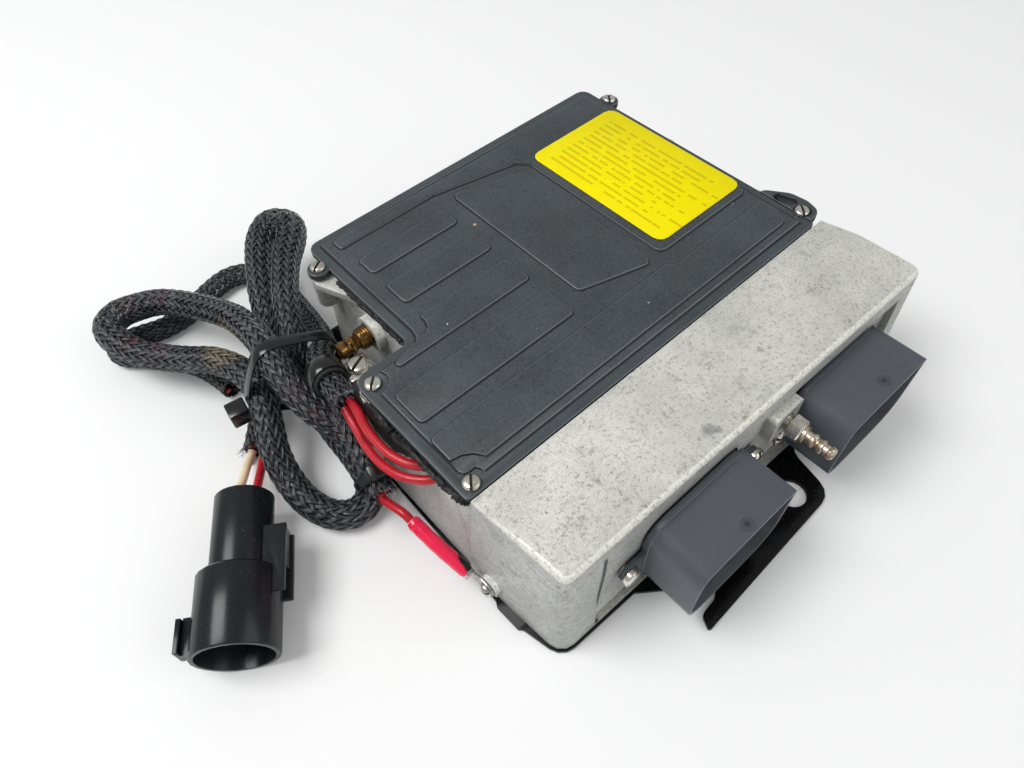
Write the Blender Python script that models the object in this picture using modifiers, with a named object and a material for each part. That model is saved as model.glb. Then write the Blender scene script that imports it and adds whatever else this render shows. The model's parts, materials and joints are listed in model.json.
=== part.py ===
# Engine control unit: a cast housing with a ribbed cover, two large header sockets,
# a coolant barb, a bracket plate and a sleeved harness that ends in a two-pin plug.
# Metres, +Z up. The origin is on the underside of the bracket plate, below the middle
# of the cover. -Y is the side with the sockets, -X the side with the harness.
import math

import bmesh
import bpy
from mathutils import Matrix, Vector

# Fits
GAP = 0.0003  # between faces that meet
BOLT_CLEARANCE = 0.0004  # round a screw's shank, all round

# Bracket plate
PLATE_THICK = 0.0025
PLATE_MARGIN = 0.0008  # the plate's edge outside the casting's foot
TAB_REACH = 0.0370  # how far the front tab stands out of the casting
TAB_HOLE = 0.0165
REAR_STRIP = 0.0090

# Casting
COVER_WIDTH = 0.2500
COVER_LENGTH = 0.1800
COVER_FRONT = -0.0600  # Y of the cover's front edge
NOTCH_DEPTH = 0.0340  # the back part is this much narrower
NOTCH_START = 0.0870  # from the cover's front edge
SEAT_HEIGHT = 0.0732  # the casting's rim above its foot
BAR_DEPTH = 0.0605  # the block that holds the sockets, along Y
BAR_RISE = 0.0040  # its top above the rim
BAR_SKEW = 0.0045  # its front face runs back by this across the width
BAR_FILLET = 0.0045
BAR_SHOULDER = 0.0165  # how far its right end stands out beyond the cover
WALL = 0.0070
FLOOR = 0.0040
BODY_DRAFT = 0.0022
BAR_DRAFT = 0.0043
BOSS_RADIUS = 0.0075
EAR_DEPTH = 0.0200
WEB_DEPTH = 0.0045  # the thin web under the back left ear
SIDE_BOSS = 0.0062

# Cover
GASKET_THICK = 0.0010
GASKET_WIDTH = 0.0045
COVER_THICK = 0.0034
FIELD_RISE = 0.0013
PAD_RISE = 0.0012
FIELD_MARGIN = 0.0050
EAR_RADIUS = 0.0062
SCALLOP_RADIUS = 0.0078
HOOP_RISE = 0.0012  # the front right ear's rim above the flange
LABEL_THICK = 0.0004

# Pan head screws
SCREW_SHANK = 0.0044
SCREW_HEAD = 0.0084
SCREW_HEAD_HEIGHT = 0.0022
SCREW_LENGTH = 0.0140
SLOT_WIDTH = 0.0011
CLIP_SCREW_HEAD = 0.0116
HEADER_SCREW_HEAD = 0.0105
HEADER_SCREW_RISE = 0.0036

# Header sockets
HEADER_WIDTH = 0.0660
HEADER_HEIGHT = 0.0500
HEADER_DEPTH = 0.0327
HEADER_WALL = 0.0024
HEADER_FLANGE = 0.0032
HEADER_PITCH = 0.1090
HEADER_LEFT_X = -0.0400
HEADER_Z = 0.0390
HEADER_CORNER = 0.0120
HEADER_SHARP = 0.0028  # the one tight corner, upper right
HEADER_EAR = 0.0046
HEADER_EAR_LIFT = 0.0040  # the screws' mean height above the middle
PIN_SIDE = 0.0016
PIN_PITCH = 0.0080

# Board
BOARD_THICK = 0.0016
BOARD_STANDOFF = 0.0120
BOARD_CLEARANCE = 0.0030

# Fluid fittings
BARB_HEIGHT = 0.0570
BARB_OFFSET = 0.0120  # from the right socket's edge
BARB_THREAD = 0.0094
BARB_HEX = 0.0115
BRASS_Y = 0.0615
BRASS_HEIGHT = 0.0605
BRASS_THREAD = 0.0130

# Harness
SLEEVE = 0.0160
BRANCH_SLEEVE = 0.0135
WIRE = 0.0047
SHRINK = 0.0076
RING_BARREL = 0.0068
TIE_WIDTH = 0.0048
TIE_THICK = 0.0014
TIE_HEAD = 0.0072
BUNDLE_TIE = 1.5  # the bundle's tie is this much wider than the small one
CLIP_WIDTH = 0.0130
CUSHION_THICK = 0.0017
BAND_THICK = 0.0010

# Two-pin plug
PLUG_BODY = 0.0300
PLUG_BODY_LENGTH = 0.0420
PLUG_MOUTH = 0.0410
PLUG_MOUTH_LENGTH = 0.0400
PLUG_WALL = 0.0024
PLUG_PIN = 0.0050
PLUG_PITCH = 0.0110

# Places worked out from the sizes above
HALF = COVER_WIDTH / 2
COVER_BACK = COVER_FRONT + COVER_LENGTH
NOTCH_X = -HALF + NOTCH_DEPTH
NOTCH_Y = COVER_FRONT + NOTCH_START
FOOT = PLATE_THICK + GAP
SEAT = FOOT + SEAT_HEIGHT
BAR_TOP = SEAT + BAR_RISE
GASKET_LOW = SEAT + GAP
COVER_LOW = GASKET_LOW + GASKET_THICK + GAP
FLANGE_TOP = COVER_LOW + COVER_THICK
FIELD_TOP = FLANGE_TOP + FIELD_RISE
PAD_TOP = FIELD_TOP + PAD_RISE
BAR_FRONT = COVER_FRONT - BAR_DEPTH
PANEL_Y = BAR_FRONT + 0.0045
FLOOR_TOP = FOOT + FLOOR
ROOF = BAR_TOP - WALL
BOARD_LOW = FLOOR_TOP + BOARD_STANDOFF + GAP
BOARD_TOP = BOARD_LOW + BOARD_THICK
HEADER_EAR_X = HEADER_WIDTH / 2 + HEADER_EAR + 0.0064
HEADER_EAR_Z = 0.0019
PANEL_LEFT = HEADER_LEFT_X - HEADER_EAR_X - 0.0170
BARB_X = HEADER_LEFT_X + HEADER_PITCH - HEADER_WIDTH / 2 - BARB_OFFSET
SUNK = 0.0005  # how far a joined shape reaches into its carrier

# Cover screws, in order: front left, left, back left, back right, front right
COVER_SCREWS = [
    (-HALF + 0.0068, COVER_FRONT + 0.0054),
    (-HALF + 0.0064, NOTCH_Y - 0.0093),
    (NOTCH_X - 0.0040, COVER_BACK - 0.0183),
    (HALF + 0.0029, COVER_BACK - 0.0206),
    (HALF + 0.0019, COVER_FRONT + 0.0103),
]

# Short bosses on the casting's right side that carry nothing
SIDE_BOSSES = [
    (HALF + 0.0010, COVER_BACK - 0.0720),
    (HALF + 0.0010, COVER_FRONT + 0.0405),
]

# Routes of the cords, chosen by hand, as centre points
SLEEVE_ROUTE = [
    (-0.1410, -0.0040, 0.0300),
    (-0.1380, 0.0130, 0.0350),
    (-0.1355, 0.0320, 0.0420),
    (-0.1400, 0.0450, 0.0470),
    (-0.1430, 0.0590, 0.0530),
    (-0.1430, 0.0760, 0.0590),
    (-0.1400, 0.0980, 0.0600),
    (-0.1400, 0.1230, 0.0540),
    (-0.1416, 0.1419, 0.0460),
    (-0.1469, 0.1637, 0.0380),
    (-0.1552, 0.1846, 0.0320),
    (-0.1647, 0.1985, 0.0290),
    (-0.1765, 0.2064, 0.0270),
    (-0.1879, 0.2090, 0.0265),
    (-0.1966, 0.2029, 0.0265),
    (-0.1975, 0.1907, 0.0265),
    (-0.1916, 0.1715, 0.0265),
    (-0.1821, 0.1567, 0.0275),
    (-0.1716, 0.1419, 0.0300),
    (-0.1620, 0.1290, 0.0330),
    (-0.1550, 0.1110, 0.0355),
    (-0.1540, 0.0960, 0.0355),
    (-0.1570, 0.0820, 0.0340),
    (-0.1620, 0.0700, 0.0300),
    (-0.1665, 0.0610, 0.0240),
    (-0.1690, 0.0520, 0.0180),
    (-0.1700, 0.0420, 0.0130),
    (-0.1690, 0.0290, 0.0100),
    (-0.1640, 0.0160, 0.0083),
    (-0.1550, 0.0080, 0.0083),
    (-0.1440, 0.0090, 0.0083),
    (-0.1370, 0.0190, 0.0095),
    (-0.1345, 0.0350, 0.0100),
    (-0.1335, 0.0560, 0.0110),
    (-0.1325, 0.0740, 0.0150),
    (-0.1305, 0.0880, 0.0240),
    (-0.1260, 0.0990, 0.0340),
    (-0.1200, 0.1100, 0.0410),
    (-0.1130, 0.1240, 0.0450),
    (-0.1040, 0.1400, 0.0460),
    (-0.0920, 0.1590, 0.0440),
    (-0.0800, 0.1740, 0.0420),
    (-0.0725, 0.1890, 0.0400),
    (-0.0800, 0.2000, 0.0390),
    (-0.0924, 0.1932, 0.0380),
    (-0.1038, 0.1763, 0.0370),
    (-0.1140, 0.1572, 0.0350),
    (-0.1228, 0.1382, 0.0290),
    (-0.1328, 0.1262, 0.0200),
    (-0.1428, 0.1142, 0.0110),
    (-0.1538, 0.1002, 0.0083),
    (-0.1636, 0.0880, 0.0083),
    (-0.1723, 0.0775, 0.0083),
]
BRANCH_ROUTE = [
    (-0.1300, 0.0290, SEAT - 0.0100),
    (-0.1290, 0.0420, SEAT - 0.0110),
    (-0.1265, 0.0590, SEAT - 0.0135),
    (-0.1210, 0.0720, SEAT - 0.0210),
    (-0.1160, 0.0830, 0.0440),
    (-0.1100, 0.0950, 0.0320),
    (-0.1040, 0.1090, 0.0230),
    (-0.1000, 0.1320, 0.0160),
    (-0.0970, 0.1600, 0.0110),
    (-0.0960, 0.1830, 0.0070),
    (-0.1020, 0.2020, 0.0070),
    (-0.1160, 0.2110, 0.0070),
    (-0.1340, 0.2080, 0.0070),
    (-0.1510, 0.2010, 0.0070),
    (-0.1690, 0.2000, 0.0070),
    (-0.1840, 0.2045, 0.0070),
    (-0.1970, 0.2070, 0.0070),
    (-0.2000, 0.1980, 0.0070),
    (-0.1910, 0.1870, 0.0070),
    (-0.1780, 0.1725, 0.0070),
    (-0.1680, 0.1560, 0.0070),
    (-0.1630, 0.1400, 0.0070),
    (-0.1610, 0.1270, 0.0070),
]


def remove_everything():
    for thing in list(bpy.data.objects):
        bpy.data.objects.remove(thing, do_unlink=True)


def new_collection(name):
    collection = bpy.data.collections.new(name)
    bpy.context.scene.collection.children.link(collection)
    return collection


def material(name, colour, roughness, metallic=0.0):
    made = bpy.data.materials.new(name)
    made.use_nodes = True
    shader = made.node_tree.nodes["Principled BSDF"]
    shader.inputs["Base Color"].default_value = (*colour, 1.0)
    shader.inputs["Roughness"].default_value = roughness
    shader.inputs["Metallic"].default_value = metallic
    return made


remove_everything()
PARTS = new_collection("engine_control_unit")
CUTTERS = new_collection("cutters")

CAST_ALUMINIUM = material("cast_aluminium", (0.47, 0.47, 0.44), 0.62, 0.55)
COVER_PLASTIC = material("cover_plastic", (0.045, 0.052, 0.058), 0.48)
SOCKET_PLASTIC = material("socket_plastic", (0.06, 0.068, 0.08), 0.42)
PLUG_PLASTIC = material("plug_plastic", (0.012, 0.012, 0.014), 0.22)
BLACK_PAINT = material("black_paint", (0.01, 0.01, 0.012), 0.18)
SOFT_BLACK = material("soft_black", (0.015, 0.015, 0.015), 0.7)
NICKEL = material("nickel", (0.66, 0.63, 0.58), 0.28, 1.0)
BRASS = material("old_brass", (0.30, 0.19, 0.07), 0.38, 1.0)
LABEL_YELLOW = material("label_yellow", (1.0, 0.84, 0.0), 0.45)
BOARD_GREEN = material("board_green", (0.03, 0.16, 0.06), 0.4)
KEY_GREEN = material("key_green", (0.05, 0.45, 0.12), 0.45)
CHIP_BLACK = material("chip_black", (0.02, 0.02, 0.02), 0.5)
BRAID = material("braid", (0.02, 0.02, 0.022), 0.35)
WIRE_RED = material("wire_red", (0.60, 0.01, 0.02), 0.32)
WIRE_CREAM = material("wire_cream", (0.80, 0.66, 0.42), 0.45)
SHRINK_RED = material("shrink_red", (0.85, 0.01, 0.08), 0.25)


def add(name, mesh, finish, collection=None):
    """A new object with its mesh and its material."""
    made = bpy.data.objects.new(name, mesh)
    (collection or PARTS).objects.link(made)
    made.data.materials.clear()
    made.data.materials.append(finish)
    return made


def shade(made, angle=35.0):
    made.data.shade_smooth()
    made.data.set_sharp_from_angle(angle=math.radians(angle))
    return made


def from_bmesh(name, shape, finish):
    bmesh.ops.recalc_face_normals(shape, faces=shape.faces)
    mesh = bpy.data.meshes.new(name)
    shape.to_mesh(mesh)
    shape.free()
    return add(name, mesh, finish)


def rounded(corners, steps=3):
    """A closed outline whose corners (x, y, radius) become arcs."""
    outline = []
    for i, (x, y, radius) in enumerate(corners):
        here = Vector((x, y))
        before = Vector(corners[i - 1][:2]) - here
        after = Vector(corners[(i + 1) % len(corners)][:2]) - here
        if radius <= 0:
            outline.append((x, y))
            continue
        half = before.angle(after) / 2
        reach = min(radius / math.tan(half), 0.49 * before.length, 0.49 * after.length)
        radius = reach * math.tan(half)
        bisector = (before.normalized() + after.normalized()).normalized()
        centre = here + bisector * radius / math.sin(half)
        first = here + before.normalized() * reach - centre
        last = here + after.normalized() * reach - centre
        start = math.atan2(first.y, first.x)
        turn = (math.atan2(last.y, last.x) - start + math.pi) % (2 * math.pi) - math.pi
        for k in range(steps + 1):
            angle = start + turn * k / steps
            outline.append((centre.x + radius * math.cos(angle), centre.y + radius * math.sin(angle)))
    return outline


def rectangle(x0, x1, y0, y1, radius, steps=3):
    return rounded([(x0, y0, radius), (x1, y0, radius), (x1, y1, radius), (x0, y1, radius)], steps)


def circle(x, y, radius, steps=16):
    turns = [2 * math.pi * k / steps for k in range(steps)]
    return [(x + radius * math.cos(a), y + radius * math.sin(a)) for a in turns]


def around(centres, radius, steps=5):
    """The outline of a band drawn tight round circles; centres run anticlockwise."""
    outline = []
    for i, centre in enumerate(centres):
        x0, y0 = centres[i - 1]
        x1, y1 = centre
        x2, y2 = centres[(i + 1) % len(centres)]
        start = math.atan2(y1 - y0, x1 - x0) - math.pi / 2
        turn = (math.atan2(y2 - y1, x2 - x1) - math.pi / 2 - start) % (2 * math.pi)
        for k in range(steps + 1):
            angle = start + turn * k / steps
            outline.append((x1 + radius * math.cos(angle), y1 + radius * math.sin(angle)))
    return outline


def inner(corners, amount):
    """The anticlockwise corners (x, y, radius) again, moved inwards by an amount."""
    moved = []
    for i, (x, y, radius) in enumerate(corners):
        here = Vector((x, y))
        a = (here - Vector(corners[i - 1][:2])).normalized()
        b = (Vector(corners[(i + 1) % len(corners)][:2]) - here).normalized()
        normal_a = Vector((-a.y, a.x))
        normal_b = Vector((-b.y, b.x))
        mitre = (normal_a + normal_b) / (1 + normal_a.dot(normal_b))
        hollow = a.x * b.y - a.y * b.x < 0
        if radius > 0:
            radius = max(radius + (amount if hollow else -amount), 0.0004)
        moved.append((*(here + mitre * amount), radius))
    return moved


def slab(name, outline, low, high, finish, top=None, hole=None):
    """A flat outline, with a thickness from low to high; its top may be another outline."""
    curve = bpy.data.curves.new(name, "CURVE")
    curve.dimensions = "2D"
    curve.fill_mode = "BOTH"
    curve.extrude = (high - low) / 2
    for ring in [outline] + ([hole] if hole else []):
        spline = curve.splines.new("POLY")
        spline.points.add(len(ring) - 1)
        for point, (x, y) in zip(spline.points, ring):
            point.co = (x, y, 0, 1)
        spline.use_cyclic_u = True
    guide = bpy.data.objects.new(name, curve)
    PARTS.objects.link(guide)
    shape = mesh_of(guide)
    bmesh.ops.translate(shape, verts=shape.verts, vec=(0, 0, (low + high) / 2))
    if top:
        for vertex in shape.verts:
            if vertex.co.z > (low + high) / 2:
                nearest = min(
                    range(len(outline)),
                    key=lambda k: (vertex.co.xy - Vector(outline[k])).length,
                )
                vertex.co.xy = top[nearest]
    return from_bmesh(name, shape, finish)


def mesh_of(guide):
    """The closed mesh of a curve object, which is then removed."""
    bpy.context.view_layer.update()
    evaluated = guide.evaluated_get(bpy.context.evaluated_depsgraph_get())
    mesh = bpy.data.meshes.new_from_object(evaluated)
    shape = bmesh.new()
    shape.from_mesh(mesh)
    bmesh.ops.remove_doubles(shape, verts=shape.verts, dist=0.000002)
    bpy.data.objects.remove(guide, do_unlink=True)
    bpy.data.meshes.remove(mesh)
    return shape


def box(name, low, high, finish):
    shape = bmesh.new()
    bmesh.ops.create_cube(shape, size=1.0)
    size = Vector(high) - Vector(low)
    middle = (Vector(high) + Vector(low)) / 2
    bmesh.ops.scale(shape, verts=shape.verts, vec=size)
    bmesh.ops.translate(shape, verts=shape.verts, vec=middle)
    return from_bmesh(name, shape, finish)


def boxes(name, corners, finish):
    """Several separate boxes in one object, to be joined to a carrier or cut from it."""
    shape = bmesh.new()
    for low, high in corners:
        size = Vector(high) - Vector(low)
        middle = (Vector(high) + Vector(low)) / 2
        place = Matrix.Translation(middle) @ Matrix.Diagonal((*size, 1.0))
        bmesh.ops.create_cube(shape, size=1.0, matrix=place)
    return from_bmesh(name, shape, finish)


def turned(name, profile, finish, steps=16):
    """A profile (radius, height), from the top down, turned about Z."""
    shape = bmesh.new()
    closed = profile[0] == profile[-1]
    points = [shape.verts.new((radius, 0, height)) for radius, height in profile[closed:]]
    for a, b in zip(points, points[1:] + points[:1] * closed):
        shape.edges.new((a, b))
    mesh = bpy.data.meshes.new(name)
    shape.to_mesh(mesh)
    shape.free()
    made = add(name, mesh, finish)
    screw = made.modifiers.new("turn", "SCREW")
    screw.steps = steps
    screw.render_steps = steps
    screw.use_merge_vertices = True
    screw.merge_threshold = 0.000002
    screw.use_smooth_shade = True
    return made


def disc(name, radius, low, high, finish, steps=16):
    return turned(name, [(0, high), (radius, high), (radius, low), (0, low)], finish, steps)


def aim(made, place, direction):
    """Puts an object at a place, with its own Z along a direction."""
    made.location = place
    made.rotation_mode = "QUATERNION"
    made.rotation_quaternion = Vector(direction).to_track_quat("Z", "Y")
    return made


def combine(carrier, other, operation):
    """A live Boolean with another object, which becomes a hidden guide."""
    modifier = carrier.modifiers.new(other.name, "BOOLEAN")
    modifier.operation = operation
    modifier.solver = "EXACT"
    modifier.object = other
    PARTS.objects.unlink(other)
    CUTTERS.objects.link(other)
    other.hide_render = True
    other.display_type = "WIRE"
    return carrier


def cut(carrier, cutter):
    return combine(carrier, cutter, "DIFFERENCE")


def join(carrier, other):
    return combine(carrier, other, "UNION")


def facing_front(made, x, y, z):
    """An object drawn flat in X and Y stands up, and its own +Z points along -Y."""
    made.location = (x, y, z)
    made.rotation_euler = (math.pi / 2, 0, 0)
    return made


def smooth_line(route, per_span=2):
    """Points on a smooth curve through all of a route's own points."""
    points = [Vector(p) for p in route]
    points = [2 * points[0] - points[1], *points, 2 * points[-1] - points[-2]]
    line = []
    for a, b, c, d in zip(points, points[1:], points[2:], points[3:]):
        for k in range(per_span):
            t = k / per_span
            line.append(
                0.5 * (2 * b + (c - a) * t + (2 * a - 5 * b + 4 * c - d) * t**2
                       + (3 * b - a - 3 * c + d) * t**3)
            )
    return line + [points[-2]]


def tube(name, route, diameter, finish, sides=2, per_span=1):
    """A plain round cord along a route."""
    curve = bpy.data.curves.new(name, "CURVE")
    curve.dimensions = "3D"
    curve.bevel_depth = diameter / 2
    curve.bevel_resolution = sides
    curve.use_fill_caps = True
    line = smooth_line(route, per_span)
    spline = curve.splines.new("POLY")
    spline.points.add(len(line) - 1)
    for point, place in zip(spline.points, line):
        point.co = (*place, 1)
    guide = bpy.data.objects.new(name, curve)
    PARTS.objects.link(guide)
    return shade(from_bmesh(name, mesh_of(guide), finish))


def pan_screw(name, place, direction=(0, 0, 1), turn=0.0, length=SCREW_LENGTH, across=SCREW_HEAD,
              rise=SCREW_HEAD_HEIGHT):
    """A slotted pan head screw whose head sits just off a face at its place."""
    head = across / 2
    shank = SCREW_SHANK / 2
    made = turned(
        name,
        [
            (0, rise + GAP),
            (head * 0.80, rise - SCREW_HEAD_HEIGHT * 0.12 + GAP),
            (head, rise - SCREW_HEAD_HEIGHT * 0.55 + GAP),
            (head, GAP),
            (shank, GAP),
            (shank, -length),
            (0, -length),
        ],
        NICKEL,
        10,
    )
    half = SLOT_WIDTH / 2
    slot = box(
        name + "_slot", (-head * 1.2, -half, rise - SCREW_HEAD_HEIGHT * 0.55 + GAP),
        (head * 1.2, half, 0.01), NICKEL,
    )
    aim(made, place, direction)
    aim(slot, place, direction)
    slot.rotation_quaternion = slot.rotation_quaternion @ Matrix.Rotation(turn, 3, "Z").to_quaternion()
    return cut(made, slot)


def screw_hole(carrier, place, direction=(0, 0, 1), depth=SCREW_LENGTH, above=0.004):
    radius = SCREW_SHANK / 2 + BOLT_CLEARANCE
    hole = disc(carrier.name + "_screw_hole", radius, -depth - 0.0012, above, carrier.data.materials[0], 8)
    return cut(carrier, aim(hole, place, direction))


# Outlines of the casting and of its cover


def body_corners():
    """The casting's foot behind the front block, with the notch at the back left."""
    out = BODY_DRAFT - 0.0015
    corner = 0.009
    return [
        (-HALF - out, COVER_FRONT - 0.002, 0),
        (HALF + out, COVER_FRONT - 0.002, 0),
        (HALF + out, COVER_BACK - 0.0015 + out, corner),
        (NOTCH_X - out, COVER_BACK - 0.0015 + out, corner),
        (NOTCH_X - out, NOTCH_Y - 0.002 + out, 0.006),
        (-HALF - out, NOTCH_Y - 0.002 + out, 0.010),
    ]


def bar_corners():
    """The foot of the front block, with its skewed face and its shoulder at the right."""
    return [
        (-HALF - 0.0035, COVER_FRONT + BAR_DRAFT - 0.0005, 0.001),
        (-HALF + 0.0015, BAR_FRONT + 0.0020, 0.009),
        (HALF + BAR_SHOULDER + 0.0010, BAR_FRONT + 0.0020 - BAR_SKEW, 0.010),
        (HALF + BAR_SHOULDER, COVER_FRONT - 0.0190, 0.012),
        (HALF + BAR_SHOULDER / 2, COVER_FRONT + BAR_DRAFT - 0.0005, 0.004),
    ]


def cover_corners():
    return [
        (-HALF, COVER_FRONT, 0.0025),
        (HALF, COVER_FRONT, 0.0025),
        (HALF, COVER_BACK, 0.006),
        (NOTCH_X, COVER_BACK, 0.006),
        (NOTCH_X, NOTCH_Y, 0.004),
        (-HALF, NOTCH_Y, 0.008),
    ]


# Where the harness and its clip meet the casting
CLIP_BULGE = (Vector(BRANCH_ROUTE[1]) + Vector(BRANCH_ROUTE[2])
              - Vector(BRANCH_ROUTE[0]) - Vector(BRANCH_ROUTE[3])) / 32
CLIP_PLACE = (Vector(BRANCH_ROUTE[1]) + Vector(BRANCH_ROUTE[2])) / 2 + CLIP_BULGE
CLIP_AXIS = (Vector(BRANCH_ROUTE[2]) - Vector(BRANCH_ROUTE[1])).normalized()
CUSHION_IN = BRANCH_SLEEVE / 2 + 2 * GAP
CUSHION_OUT = CUSHION_IN + CUSHION_THICK
BAND_OUT = CUSHION_OUT + GAP + BAND_THICK
LUG_TOP = CLIP_PLACE.z - CUSHION_OUT * 0.65
CLIP_SCREW = (CLIP_PLACE.x + BAND_OUT + CLIP_SCREW_HEAD / 2 + 0.0004, CLIP_PLACE.y - 0.0030)
INLET_BACK = COVER_FRONT + 0.0520
INLET_FRONT = COVER_FRONT + 0.0148
INLET_LOW = SEAT - 0.0160
GROUND_PLACE = (-HALF - 0.0040, COVER_FRONT - 0.0130, FOOT + 0.0105)
BRASS_FACE = NOTCH_X - 0.0040
BARB_FACE = PANEL_Y - 0.0060
HEADERS = {"left": HEADER_LEFT_X, "right": HEADER_LEFT_X + HEADER_PITCH}
BOARD_SCREWS = [
    (-HALF + 0.0240, COVER_FRONT + 0.0240),
    (HALF - 0.0180, COVER_FRONT + 0.0240),
    (NOTCH_X + 0.0160, COVER_BACK - 0.0200),
    (HALF - 0.0180, COVER_BACK - 0.0200),
]
BASE_SCREWS = [
    (-HALF + 0.0250, BAR_FRONT + 0.0200),
    (HALF - 0.0150, BAR_FRONT + 0.0200),
    (NOTCH_X + 0.0300, COVER_BACK - 0.0300),
    (HALF - 0.0300, COVER_BACK - 0.0300),
]


def header_outline(shrink=0.0):
    """The socket's rounded section, larger rounds below."""
    half_w = HEADER_WIDTH / 2 - shrink
    half_h = HEADER_HEIGHT / 2 - shrink
    top = max(HEADER_CORNER * 0.8 - shrink, 0.001)
    sharp = max(HEADER_SHARP - shrink, 0.0006)
    low = max(HEADER_CORNER * 1.3 - shrink, 0.001)
    return rounded([
        (-half_w, -half_h, low),
        (half_w, -half_h, low),
        (half_w, half_h, sharp),
        (-half_w, half_h, top),
    ], 4)


def housing():
    """The casting: an open box with screw bosses and the block that holds the sockets."""
    foot = body_corners()
    made = slab(
        "housing", rounded(foot), FOOT, SEAT, CAST_ALUMINIUM, rounded(inner(foot, BODY_DRAFT))
    )
    block = bar_corners()
    bar = slab(
        "front_block", rounded(block), FOOT, BAR_TOP, CAST_ALUMINIUM, rounded(inner(block, BAR_DRAFT))
    )
    fillet = bar.modifiers.new("casting_fillet", "BEVEL")
    fillet.width = BAR_FILLET
    fillet.segments = 2
    fillet.limit_method = "ANGLE"
    fillet.angle_limit = math.radians(50)
    join(made, bar)
    join(made, slab("clip_lug", clip_lug_outline(), LUG_TOP - 0.014, LUG_TOP, CAST_ALUMINIUM))
    join(made, slab("back_web", back_web_outline(), SEAT - WEB_DEPTH, SEAT, CAST_ALUMINIUM))
    for i, (x, y) in enumerate(COVER_SCREWS[2:]):
        ear = slab(f"ear_{i}", circle(x, y, EAR_RADIUS - 0.0006), SEAT - EAR_DEPTH, SEAT, CAST_ALUMINIUM)
        join(made, ear)
    for i, (x, y) in enumerate(SIDE_BOSSES):
        boss = slab(f"side_boss_{i}", circle(x, y, SIDE_BOSS), SEAT - EAR_DEPTH, SEAT - 0.0010, CAST_ALUMINIUM)
        join(made, boss)
    x, y, z = GROUND_PLACE
    join(made, aim(disc("ground_pad", 0.0062, -0.008, 0, CAST_ALUMINIUM, 16), GROUND_PLACE, (-1, 0, 0)))
    pad = disc("brass_boss", BRASS_THREAD / 2 + 0.0035, -0.010, 0, CAST_ALUMINIUM, 20)
    join(made, aim(pad, (BRASS_FACE, BRASS_Y, BRASS_HEIGHT), (-1, 0, 0)))

    mouth = rounded(inner(foot, WALL + BODY_DRAFT))
    cut(made, slab("mouth", mouth, FLOOR_TOP, SEAT + 0.01, CAST_ALUMINIUM))
    tunnel = rectangle(-HALF + WALL, HALF + WALL, PANEL_Y + WALL * 0.8, COVER_FRONT + 0.015, 0.006)
    cut(made, slab("tunnel", tunnel, FLOOR_TOP, ROOF, CAST_ALUMINIUM))
    panel = [((PANEL_LEFT, BAR_FRONT - 0.02, FOOT + 0.003),
              (HEADERS["right"] + HEADER_EAR_X + 0.0080, PANEL_Y, HEADER_Z + HEADER_HEIGHT / 2 + 0.0045))]
    cut(made, boxes("front_panel", panel, CAST_ALUMINIUM))
    inlet = [((-HALF - 0.01, INLET_FRONT, INLET_LOW), (-HALF + WALL + 0.004, INLET_BACK, SEAT + 0.01))]
    cut(made, boxes("wire_inlet", inlet, CAST_ALUMINIUM))
    for side, x in HEADERS.items():
        window = slab(f"window_{side}", header_outline(0.004), -0.02, 0.012, CAST_ALUMINIUM)
        cut(made, facing_front(window, x, PANEL_Y, HEADER_Z))
    lug = rectangle(-0.0110, 0.0110, -0.0085, 0.0110, 0.003)
    lug_made = slab("barb_lug", lug, -0.002, PANEL_Y - BARB_FACE, CAST_ALUMINIUM)
    join(made, facing_front(lug_made, BARB_X, PANEL_Y, BARB_HEIGHT - 0.0015))

    for i, (x, y) in enumerate(COVER_SCREWS[:2]):
        join(made, slab(f"boss_{i}", circle(x, y, BOSS_RADIUS, 16), SEAT - EAR_DEPTH, SEAT, CAST_ALUMINIUM))
    for i, (x, y) in enumerate(BOARD_SCREWS):
        post = slab(f"post_{i}", circle(x, y, 0.0042, 12), FLOOR_TOP - SUNK, BOARD_LOW - GAP, CAST_ALUMINIUM)
        join(made, post)
        screw_hole(made, (x, y, BOARD_LOW - GAP), depth=0.009, above=0.002)
    for i, (x, y) in enumerate(BASE_SCREWS):
        post = slab(f"foot_{i}", circle(x, y, 0.006, 12), FLOOR_TOP - SUNK, FLOOR_TOP + 0.006, CAST_ALUMINIUM)
        join(made, post)
        screw_hole(made, (x, y, FOOT), (0, 0, -1), depth=0.008, above=0.002)
    for x, y in COVER_SCREWS:
        screw_hole(made, (x, y, SEAT), depth=SCREW_LENGTH - COVER_THICK)
    screw_hole(made, GROUND_PLACE, (-1, 0, 0), depth=0.006)
    screw_hole(made, (*CLIP_SCREW, LUG_TOP), depth=0.009)
    for place in header_screw_places():
        screw_hole(made, place, (0, -1, 0), depth=0.0045)
    bore = disc("barb_bore", BARB_THREAD / 2 + GAP, -0.0100, 0.004, CAST_ALUMINIUM)
    cut(made, aim(bore, (BARB_X, BARB_FACE, BARB_HEIGHT), (0, -1, 0)))
    bore = disc("brass_bore", BRASS_THREAD / 2 + GAP, -0.0085, 0.004, CAST_ALUMINIUM)
    cut(made, aim(bore, (BRASS_FACE, BRASS_Y, BRASS_HEIGHT), (-1, 0, 0)))
    return made


def clip_lug_outline():
    x, y = CLIP_SCREW
    return rounded([
        (x - 0.0062, NOTCH_Y - 0.006, 0),
        (NOTCH_X + 0.003, NOTCH_Y - 0.006, 0),
        (NOTCH_X + 0.003, NOTCH_Y + 0.012, 0),
        (x + 0.0070, NOTCH_Y + 0.012, 0.004),
        (x + 0.0070, y + 0.0065, 0.004),
        (x - 0.0062, y + 0.0065, 0.004),
    ])


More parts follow.
